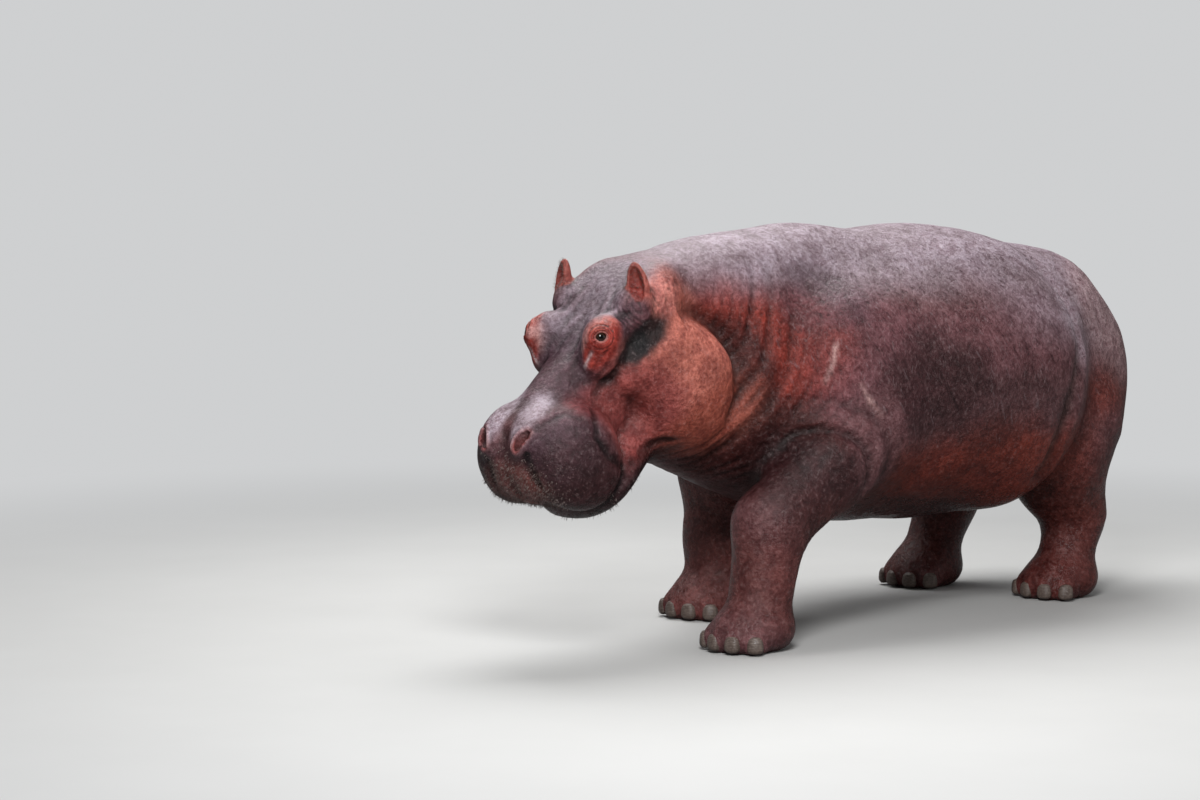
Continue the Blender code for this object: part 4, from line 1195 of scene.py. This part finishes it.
# Red rim round the opening, dark bands of painted shade in the folds round the lids, the upper lid's edge
# near black, the lower lid's edge pale pink, and dark pits on the muzzle
colour = layered(tree, colour, (
    ("MIX", times(tree, band(tree, from_edge, 4.0, 3.0), times(tree, front, 0.55)), (0.56, 0.28, 0.24)),
    ("MIX", times(tree, creases, 0.75), (0.070, 0.014, 0.012)),
    ("MIX", times(tree, ramp(tree, from_edge, 0.2, 1.6, 1.0, 0.0), upper), (0.045, 0.010, 0.009)),
    ("MIX", times(tree, ramp(tree, from_edge, 0.4, 1.8, 1.0, 0.0), times(tree, lower, 0.85)),
     (0.55, 0.32, 0.31)),
    ("MIX", times(tree, dot, 0.55), (0.42, 0.26, 0.24))))
tree.links.new(colour, shader.inputs["Base Color"])
print("hide: folds 8, 16 and 26 mm from the lids' edge, pits 10 mm apart")

# %% Hide, its shine and grain
DRY_ROUGHNESS, WET_ROUGHNESS = 0.42, 0.24
rough = ramp(tree, wetness, 0.0, 1.0, DRY_ROUGHNESS, WET_ROUGHNESS)
rough = maths(tree, "ADD", rough, ramp(tree, blotch, 0.3, 0.7, -0.10, 0.12))
tree.links.new(rough, shader.inputs["Roughness"])
for name, value in (("Specular IOR Level", 0.28), ("Coat Weight", 0.06), ("Coat Roughness", 0.16)):
    shader.inputs[name].default_value = value


def bumped(tree, normal, strength, distance, height):
    """The normal leaned by the slope of a height; with no normal given it starts from the smooth surface."""
    links = {"Strength": strength, "Distance": distance, "Height": height}
    if normal is not None:
        links["Normal"] = normal
    return add(tree, "ShaderNodeBump", links).outputs[0]


# The film of water follows the coarse forms only; strokes, pits and grain lie under it
coarse = None
for strength, distance, height in (
        (0.25, 0.003, times(tree, ramp(tree, crack_far, 0.0, 0.14), cracked)),
        (0.8, 0.0025, maths(tree, "SUBTRACT", 1.0, creases)), (0.7, 0.014, blotch), (0.8, 0.0060, mottle)):
    coarse = bumped(tree, coarse, strength, distance, height)
tree.links.new(coarse, shader.inputs["Coat Normal"])
grained = coarse
for strength, distance, height in ((0.7, 0.0045, times(tree, steep, streaks)), (0.6, 0.003, dot),
                                   (0.5, 0.0016, fine)):
    grained = bumped(tree, grained, strength, distance, height)
tree.links.new(grained, shader.inputs["Normal"])
print("nodes in the hide:", len(tree.nodes))


# %% Put the skin in place of the flesh
SIDES = ((1, "left"), (-1, "right"))


def piece(name, mesh, finish):
    """A smooth object of a mesh at the origin, riding on the one body."""
    made = bpy.data.objects.new(name, mesh)
    bpy.context.scene.collection.objects.link(made)
    mesh.materials.append(finish)
    mesh.polygons.foreach_set("use_smooth", np.full(len(mesh.polygons), True))
    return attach(made, "root")


skin = piece("hide_skin", mesh, hide)
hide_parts("trunk", "neck", "head", "tail", *LEGS, "ear_left", "ear_right")
print("skin reaches", [round(float(v), 3) for v in places.min(0) + shift], "to",
      [round(float(v), 3) for v in places.max(0) + shift])

# %% [markdown]
# ## Eyeballs
#
# The eye is a dark wet ball with a clear bulge over the iris and a lying oval pupil. A UV sphere
# from the menu would do for a pebble, but the bulge and the iris ring need rows of vertices about
# the eye's own line of sight. So the ball is a function of two parameters, the angle from that line
# and the angle round it, and its radius swells by a twentieth over the iris.


# %% A closed surface from rings
def closed_mesh(name, vertices, faces):
    """A mesh of a closed shell, its faces turned to look out."""
    made = bpy.data.meshes.new(name)
    made.from_pydata(vertices.tolist(), [], faces)
    shape = bmesh.new()
    shape.from_mesh(made)
    bmesh.ops.recalc_face_normals(shape, faces=shape.faces)
    shape.to_mesh(made)
    shape.free()
    return made


def with_poles(ring_places):
    """The vertices of a row of rings, its first and last ring shrunk to one vertex each."""
    inner = ring_places[1:-1].reshape(-1, 3)
    return np.concatenate([ring_places[:1].mean(axis=1), inner, ring_places[-1:].mean(axis=1)])


def closed_rings(name, ring_places):
    """Neighbouring rings joined by quads, and the ends by triangles to their poles."""
    count, around = ring_places.shape[:2]
    ring = np.arange(around)
    after = np.roll(ring, -1)
    row = 1 + np.arange(count - 3)[:, None] * around
    sides = np.stack([row + ring, row + after, row + after + around, row + ring + around], -1).reshape(-1, 4)
    last = 1 + (count - 2) * around
    start = np.stack([np.zeros(around, int), 1 + after, 1 + ring], -1)
    end = np.stack([np.full(around, last), last - around + ring, last - around + after], -1)
    return closed_mesh(name, with_poles(ring_places), start.tolist() + sides.tolist() + end.tolist())


def eyeball(side):
    """Radius times (1 + 5 percent over the iris) along each direction from the line of sight."""
    slant = np.linspace(0.0, math.pi, 33)[:, None]
    round_it = np.linspace(0.0, 2 * math.pi, 40, endpoint=False)[None, :]
    size = EYE_RADIUS * (1 + 0.05 * smooth((0.75 - slant) / 0.35))
    local = size[..., None] * np.stack([np.sin(slant) * np.cos(round_it), np.sin(slant) * np.sin(round_it),
                                        np.cos(slant) + 0 * round_it], -1)
    placed = local @ eye_rows + EYE_AT
    placed[..., 1] *= side
    return from_head(placed) + shift, local


# %% Eye finish: brown iris with rays, black pupil, wet and smooth
eye_finish, tree, shader, where = new_material("wet_eye", 0.06)
off_sight, turned_x, turned_y = stored(tree, "sight")[:3]
turned_place = add(tree, "ShaderNodeCombineXYZ", {0: turned_x, 1: turned_y}).outputs[0]
rays = grain(tree, turned_place, 26.0, 3.0)
iris = blend_colour(tree, "MIX", rays, (0.006, 0.003, 0.002, 1.0), (0.035, 0.016, 0.009, 1.0))
ball = layered(tree, iris, (("MIX", ramp(tree, off_sight, 0.62, 0.74), (0.060, 0.022, 0.017)),
                            ("MIX", ramp(tree, off_sight, 0.26, 0.32, 1.0, 0.0), (0.002, 0.002, 0.002))))
tree.links.new(ball, shader.inputs["Base Color"])
shader.inputs["Specular IOR Level"].default_value = 0.35
print("eye finish: pupil to 0.3 and iris to 0.7 radians off the line of sight")

# %% Both eyeballs
PUPIL_SHAPE = (0.8, 1.1)
for side, label in SIDES:
    around, local = eyeball(side)
    ball_mesh = closed_rings("eyeball_" + label, around)
    flat = with_poles(local)
    from_sight = np.arctan2(np.hypot(flat[:, 0] * PUPIL_SHAPE[0], flat[:, 1] * PUPIL_SHAPE[1]), flat[:, 2])
    turned = np.arctan2(flat[:, 1], flat[:, 0])
    store(ball_mesh, "sight", from_sight, np.cos(turned), np.sin(turned))
    eye = piece("eyeball_" + label, ball_mesh, eye_finish)
    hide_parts("eye_" + label)
print("eyeballs:", len(ball_mesh.polygons), "faces each")

# %% [markdown]
# ## Nails
#
# A hippopotamus walks on four toes, each with a short blunt nail. A nail is a curved plate, wider
# than it is thick, with growth rings across it. It is made of rings from the sole side up, each a
# rounded rectangle. Their size is 1 less the cube of the height, to a power, so that it ends bluntly.

# %% Nail surface
NAIL_RADII = (0.020, 0.029, 0.032)
NAIL_AHEAD, NAIL_SUNK = 0.047, 0.008


def squared_off(wave):
    """A wave to the power 0.8 with its sign kept, so that a circle nears a rounded rectangle."""
    return np.sign(wave) * np.abs(wave) ** 0.8


def nail_rings(toe, fan):
    """Ring size (1 - |t| cubed) to the 0.45, outline a circle to the 0.8, small waves up it."""
    t = np.linspace(-1.0, 1.0, 22)[:, None]
    a = np.linspace(0.0, 2 * math.pi, 28, endpoint=False)[None, :]
    size = np.maximum(1 - np.abs(t) ** 3, 0.0) ** 0.45 * (1 + 0.012 * np.sin(t * 34))
    ahead = NAIL_RADII[0] * size * squared_off(np.cos(a)) * (1 - 0.12 * t)
    aside = NAIL_RADII[1] * size * squared_off(np.sin(a)) * (1 - 0.10 * t)
    up = NAIL_RADII[2] * t + 0 * a
    axes = np.array([[-math.cos(fan), math.sin(fan), 0], [math.sin(fan), math.cos(fan), 0], [0, 0, 1]])
    centre = np.array(toe) + axes[0] * NAIL_AHEAD - axes[2] * NAIL_SUNK + shift
    return centre + np.stack([ahead, aside, up], -1) @ axes


# %% Horn finish and the four sets
horn, tree, shader, where = new_material("horn", 0.38)
layers = add(tree, "ShaderNodeTexWave", {"Vector": where, "Scale": 55.0, "Distortion": 3.0, "Detail": 3.0,
                                         "Detail Scale": 2.0}, bands_direction="Z").outputs["Fac"]
worn = grain(tree, where, 120.0, 4.0)
shade = blend_colour(tree, "MIX", layers, (0.105, 0.075, 0.062, 1.0), (0.21, 0.165, 0.14, 1.0))
shade = layered(tree, shade, (("MULTIPLY", ramp(tree, worn, 0.35, 0.65, 0.7, 0.0), (0.45, 0.38, 0.36)),))
tree.links.new(shade, shader.inputs["Base Color"])
tree.links.new(ramp(tree, worn, 0.3, 0.7, 0.30, 0.55), shader.inputs["Roughness"])
tree.links.new(bumped(tree, None, 0.4, 0.0015, maths(tree, "ADD", layers, worn)), shader.inputs["Normal"])
for name, joints in LEGS.items():
    for number, (fan, toe) in enumerate(zip(toe_turns, toe_places(joints[-1])), 1):
        plate = closed_rings(f"horn_{name}_{number}", nail_rings(toe, fan))
        nail = piece(f"horn_{name}_{number}", plate, horn)
        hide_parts(f"nail_{name}_{number}")
print("nails:", 4 * len(LEGS), "of", len(plate.polygons), "faces")

# %% [markdown]
# ## Bristles
#
# The animal is almost bare. What hair it has is stiff and short: pale bristles in tufts of three all
# over the front of the muzzle, fewer on the chin, a fringe in the ears, and a brush at the end of the
# tail. Particle hair would be lost when the model leaves Blender, so every hair is a thin
# three-sided spike of solid mesh. All spikes of one coat are computed at once: roots are drawn on
# the skin's faces by area, and each spike bends along its length. Each coat carries a flat map, laid
# out by the angle round the head or the tail, so that its colours can be baked later.

# %% Roots drawn on the skin
corners = np.array([[*p.vertices][:3] for p in mesh.polygons])
tri = read_places(mesh)[corners]
face_normal = np.cross(tri[:, 1] - tri[:, 0], tri[:, 2] - tri[:, 0])
face_area = np.linalg.norm(face_normal, axis=1)
face_normal = face_normal / np.maximum(face_area, 1e-12)[:, None]
face_middle = tri.mean(axis=1) - shift


def roots(weight, count, seed):
    """Places and normals of faces picked with a chance of weight times area."""
    draw = np.random.default_rng(seed)
    chance = weight * face_area
    picked = draw.choice(len(chance), count, p=chance / chance.sum())
    share = draw.random((count, 2))
    share = np.where(share.sum(1, keepdims=True) > 1, 1 - share, share)
    corner = tri[picked]
    place = (corner[:, 0] + share[:, :1] * (corner[:, 1] - corner[:, 0])
             + share[:, 1:] * (corner[:, 2] - corner[:, 0]))
    return place, face_normal[picked]


def leaning_hairs(normal, draw, wander, pull):
    """Directions: the normal, a random part and a steady pull, made one long."""
    return unit(normal + draw.normal(0.0, wander, normal.shape) + pull)


# %% Spikes from roots
THIRDS = (0.0, 2.0944, 4.1888)


def spikes(name, root, lean, length, thick, wander, unwrap, finish, seed):
    """Rings of three vertices at root + lean * s + bend * s squared, thinning to one tip vertex."""
    draw = np.random.default_rng(seed)
    count = len(root)
    bend = draw.normal(0.0, wander, (count, 3)) * length[:, None]
    side = unit(np.cross(lean, draw.normal(size=(count, 3))))
    other = np.cross(lean, side)
    rows = []
    for s, width in ((-0.12, 1.0), (0.35, 0.85), (0.70, 0.55)):
        middle = root + lean * (length * s)[:, None] + bend * s * s
        for a in THIRDS:
            rows.append(middle + thick * width * (math.cos(a) * side + math.sin(a) * other))
    rows.append(root + lean * length[:, None] + bend)
    starts = 10 * np.arange(count)[:, None, None]
    quads = np.array([[r + k, r + (k + 1) % 3, r + 3 + (k + 1) % 3, r + 3 + k]
                      for r in (0, 3) for k in range(3)])
    ends = np.array([[2, 1, 0]] + [[6 + k, 6 + (k + 1) % 3, 9] for k in range(3)])
    faces = (quads + starts).reshape(-1, 4).tolist() + (ends + starts).reshape(-1, 3).tolist()
    made = closed_mesh(name, np.stack(rows, axis=1).reshape(-1, 3), faces)
    turns = np.arange(10) * 2.1
    spread_out = np.tile(0.0015 * np.stack([np.cos(turns), np.sin(turns)], -1), (count, 1))
    loops = np.empty(len(made.loops), int)
    made.loops.foreach_get("vertex_index", loops)
    chart = (np.repeat(unwrap(root - shift), 10, axis=0) + spread_out)[loops]
    made.uv_layers.new(name="OFBake").data.foreach_set("uv", chart.astype(np.float32).ravel())
    made_piece = piece(name, made, finish)


def head_unwrap(place):
    """Angle round the head's length over a full turn, and the distance along it over 1.4 m."""
    q = to_head(place)
    return np.stack([0.5 + np.arctan2(q[:, 1], q[:, 2] + 0.25) / 6.4, 0.2 + q[:, 0] / 1.4], -1)


def tail_unwrap(place):
    """Angle round the tail over a full turn, and nine tenths of the height."""
    return np.stack([0.5 + np.arctan2(place[:, 1], place[:, 0] - TAIL[-1][0]) / 6.4, place[:, 2] * 0.9], -1)


# %% Bristle finishes
bristle, tree, shader, where = new_material("bristle", 0.5)
tone = blend_colour(tree, "MIX", ramp(tree, grain(tree, where, 70.0, 2.0), 0.35, 0.65),
                    (0.13, 0.08, 0.07, 1.0), (0.32, 0.25, 0.23, 1.0))
tree.links.new(tone, shader.inputs["Base Color"])
dark_bristle, tree, shader, where = new_material("dark_bristle", 0.45)
tone = blend_colour(tree, "MIX", grain(tree, where, 60.0, 2.0),
                    (0.012, 0.009, 0.008, 1.0), (0.06, 0.04, 0.032, 1.0))
tree.links.new(tone, shader.inputs["Base Color"])
print("finishes:", len(bpy.data.materials))

# %% Muzzle and chin
middle_head = head_side(face_middle)
front = patch(middle_head, (0.82, 0.0, -0.27), (0.11, 0.17, 0.15), 0.30)
chin = patch(middle_head, (0.62, 0.10, -0.50), (0.20, 0.20, 0.10), 0.25)
slot_far = ellipsoid(mirrored(middle_head), *NOSTRIL)
root, normal = roots((front + 0.10 * chin) * smooth((slot_far - 0.006) / 0.01), 1000, 3)
draw = np.random.default_rng(4)
root, normal = np.repeat(root, 3, axis=0), np.repeat(normal, 3, axis=0)
root = root + draw.normal(0.0, 0.0012, root.shape)
lean = leaning_hairs(normal, draw, 0.22, np.array([-0.15, 0.0, -0.45]))
length = draw.uniform(0.006, 0.015, len(root))
spikes("muzzle_bristles", root, lean, length, 0.00045, 0.10, head_unwrap, bristle, 5)
print("muzzle bristles:", len(root))

# %% Ear fringes
for side, label in SIDES:
    local = in_ear(face_middle, side)
    edge = smooth((local[:, 2] - 0.075) / 0.02) * smooth((local[:, 1] + 0.004) / 0.01)
    root, normal = roots((ellipsoid(local, *EAR_AROUND) < 0.004) * edge, 420, 11 + side)
    draw = np.random.default_rng(12 + side)
    opening, along = ear_axes(side)[1:]
    lean = leaning_hairs(normal * 0.5, draw, 0.22, opening * 0.7 + along * 0.5)
    length = draw.uniform(0.006, 0.013, len(root))
    spikes("ear_fringe_" + label, root, lean, length, 0.00035, 0.12, head_unwrap, bristle, 13 + side)
print("hairs in each ear:", len(root))

# %% Tail brush
tip = smooth((0.74 - face_middle[:, 2]) / 0.12) * within(face_middle, (1.475, 0.0, 0.62), reach=0.17)
root, normal = roots(tip * (0.25 + np.abs(face_normal[:, 0])), 900, 21)
draw = np.random.default_rng(22)
lean = leaning_hairs(normal * 0.35, draw, 0.12, np.array([0.0, 0.0, -1.0]))
length = draw.uniform(0.020, 0.050, len(root))
spikes("tail_brush", root, lean, length, 0.0007, 0.12, tail_unwrap, dark_bristle, 23)
print("hairs of the tail brush:", len(root))

# %% [markdown]
# ## Floor, light and camera
#
# The model stands on a plain pale floor, as on a sweep of paper that curves up into the wall behind:
# far from the animal the floor fades into the wall's own tone. Seen directly, floor and room are
# pale, but the light that they send back is kept low, so that the belly stays dark. The light is a
# studio's: one wide soft box high behind the back for the sheen on wet hide, a smaller one high on
# the left in front, which gives the head its form, and a weak wide one that opens the shadows of the
# left side. The camera stands low, ahead of the left shoulder and far back with a long lens, so that
# the head doesn't swell, and it is turned a little aside, so that the animal has open space before it.

# %% Floor
FLOOR_HALF = 60
WALL_COLOUR, WALL_STRENGTH = (0.84, 0.85, 0.86, 1.0), 0.74
SENT_BACK = 0.20
floor_mesh = bpy.data.meshes.new("floor")
floor_mesh.from_pydata([(-FLOOR_HALF, -FLOOR_HALF, 0), (FLOOR_HALF, -FLOOR_HALF, 0),
                        (FLOOR_HALF, FLOOR_HALF, 0), (-FLOOR_HALF, FLOOR_HALF, 0)], [], [(0, 1, 2, 3)])
floor = bpy.data.objects.new("floor", floor_mesh)
bpy.context.scene.collection.objects.link(floor)
plaster, tree, shader, where = new_material("pale_floor", 0.7)
seen = add(tree, "ShaderNodeLightPath").outputs["Is Camera Ray"]
seen_colour = blend_colour(tree, "MIX", grain(tree, where, 1.5, 4.0),
                           (0.54, 0.54, 0.53, 1.0), (0.60, 0.60, 0.59, 1.0))
floor_colour = blend_colour(tree, "MIX", seen, (SENT_BACK, SENT_BACK, SENT_BACK, 1.0), seen_colour)
tree.links.new(floor_colour, shader.inputs["Base Color"])
far = add(tree, "ShaderNodeVectorMath", {0: where}, operation="LENGTH").outputs["Value"]
glow = add(tree, "ShaderNodeEmission", {"Color": WALL_COLOUR, "Strength": WALL_STRENGTH})
mixed = add(tree, "ShaderNodeMixShader", {0: times(tree, ramp(tree, far, 1.6, 6.5), seen),
                                          1: shader.outputs[0], 2: glow.outputs[0]})
tree.links.new(mixed.outputs[0], tree.nodes["Material Output"].inputs["Surface"])
floor_mesh.materials.append(plaster)
print("floor:", 2 * FLOOR_HALF, "m wide, fading from 1.6 to 6.5 m")


# %% Lights
def soft_box(name, place, aim, size, power):
    """A square area light that looks at a place."""
    data = bpy.data.lights.new(name, "AREA")
    data.size = size
    data.energy = power
    lamp = bpy.data.objects.new(name, data)
    lamp.location = place
    lamp.rotation_euler = (Vector(aim) - Vector(place)).to_track_quat("-Z", "Y").to_euler()
    bpy.context.scene.collection.objects.link(lamp)


soft_box("sky_box", (0.8, 1.5, 5.0), (0.0, 0.0, 1.0), 4.0, 320.0)
soft_box("key_box", (-4.5, -3.5, 4.2), (-0.6, 0.0, 0.9), 1.8, 330.0)
soft_box("side_box", (1.5, -6.0, 2.6), (0.2, 0.0, 0.8), 3.0, 40.0)
room = bpy.data.worlds.new("room")
bpy.context.scene.world = room
room.use_nodes = True
tree = room.node_tree
seen = add(tree, "ShaderNodeLightPath").outputs["Is Camera Ray"]
sky = tree.nodes["Background"]
sky.inputs["Color"].default_value = WALL_COLOUR
strength = maths(tree, "MULTIPLY_ADD", seen, WALL_STRENGTH - SENT_BACK, SENT_BACK)
tree.links.new(strength, sky.inputs["Strength"])
bpy.context.scene.view_settings.view_transform = "Standard"
print("lights: three soft boxes and a pale room")

# %% Camera
VIEW_AZIMUTH, VIEW_ELEVATION, VIEW_DISTANCE = math.radians(-49.0), math.radians(3.5), 13.0
TURNED_LEFT, TURNED_DOWN = math.radians(3.1371), math.radians(1.1568)
back = Vector((math.sin(VIEW_AZIMUTH) * math.cos(VIEW_ELEVATION),
               -math.cos(VIEW_AZIMUTH) * math.cos(VIEW_ELEVATION), math.sin(VIEW_ELEVATION)))
target = Vector((-0.4, 0.0, 1.1)) + Vector(shift)
right = (-back).cross(Vector((0, 0, 1))).normalized()
upward = right.cross(-back)
sight_line = (-back - right * math.tan(TURNED_LEFT) - upward * math.tan(TURNED_DOWN)).normalized()
camera_data = bpy.data.cameras.new("camera")
camera_data.lens = 104.0
camera_data.sensor_width = 36.0
camera_data.clip_end = 200.0
camera = bpy.data.objects.new("camera", camera_data)
camera.location = target + back * VIEW_DISTANCE
camera.rotation_euler = sight_line.to_track_quat("-Z", "Y").to_euler()
bpy.context.scene.collection.objects.link(camera)
bpy.context.scene.camera = camera
print("camera at", [round(v, 2) for v in camera.location])
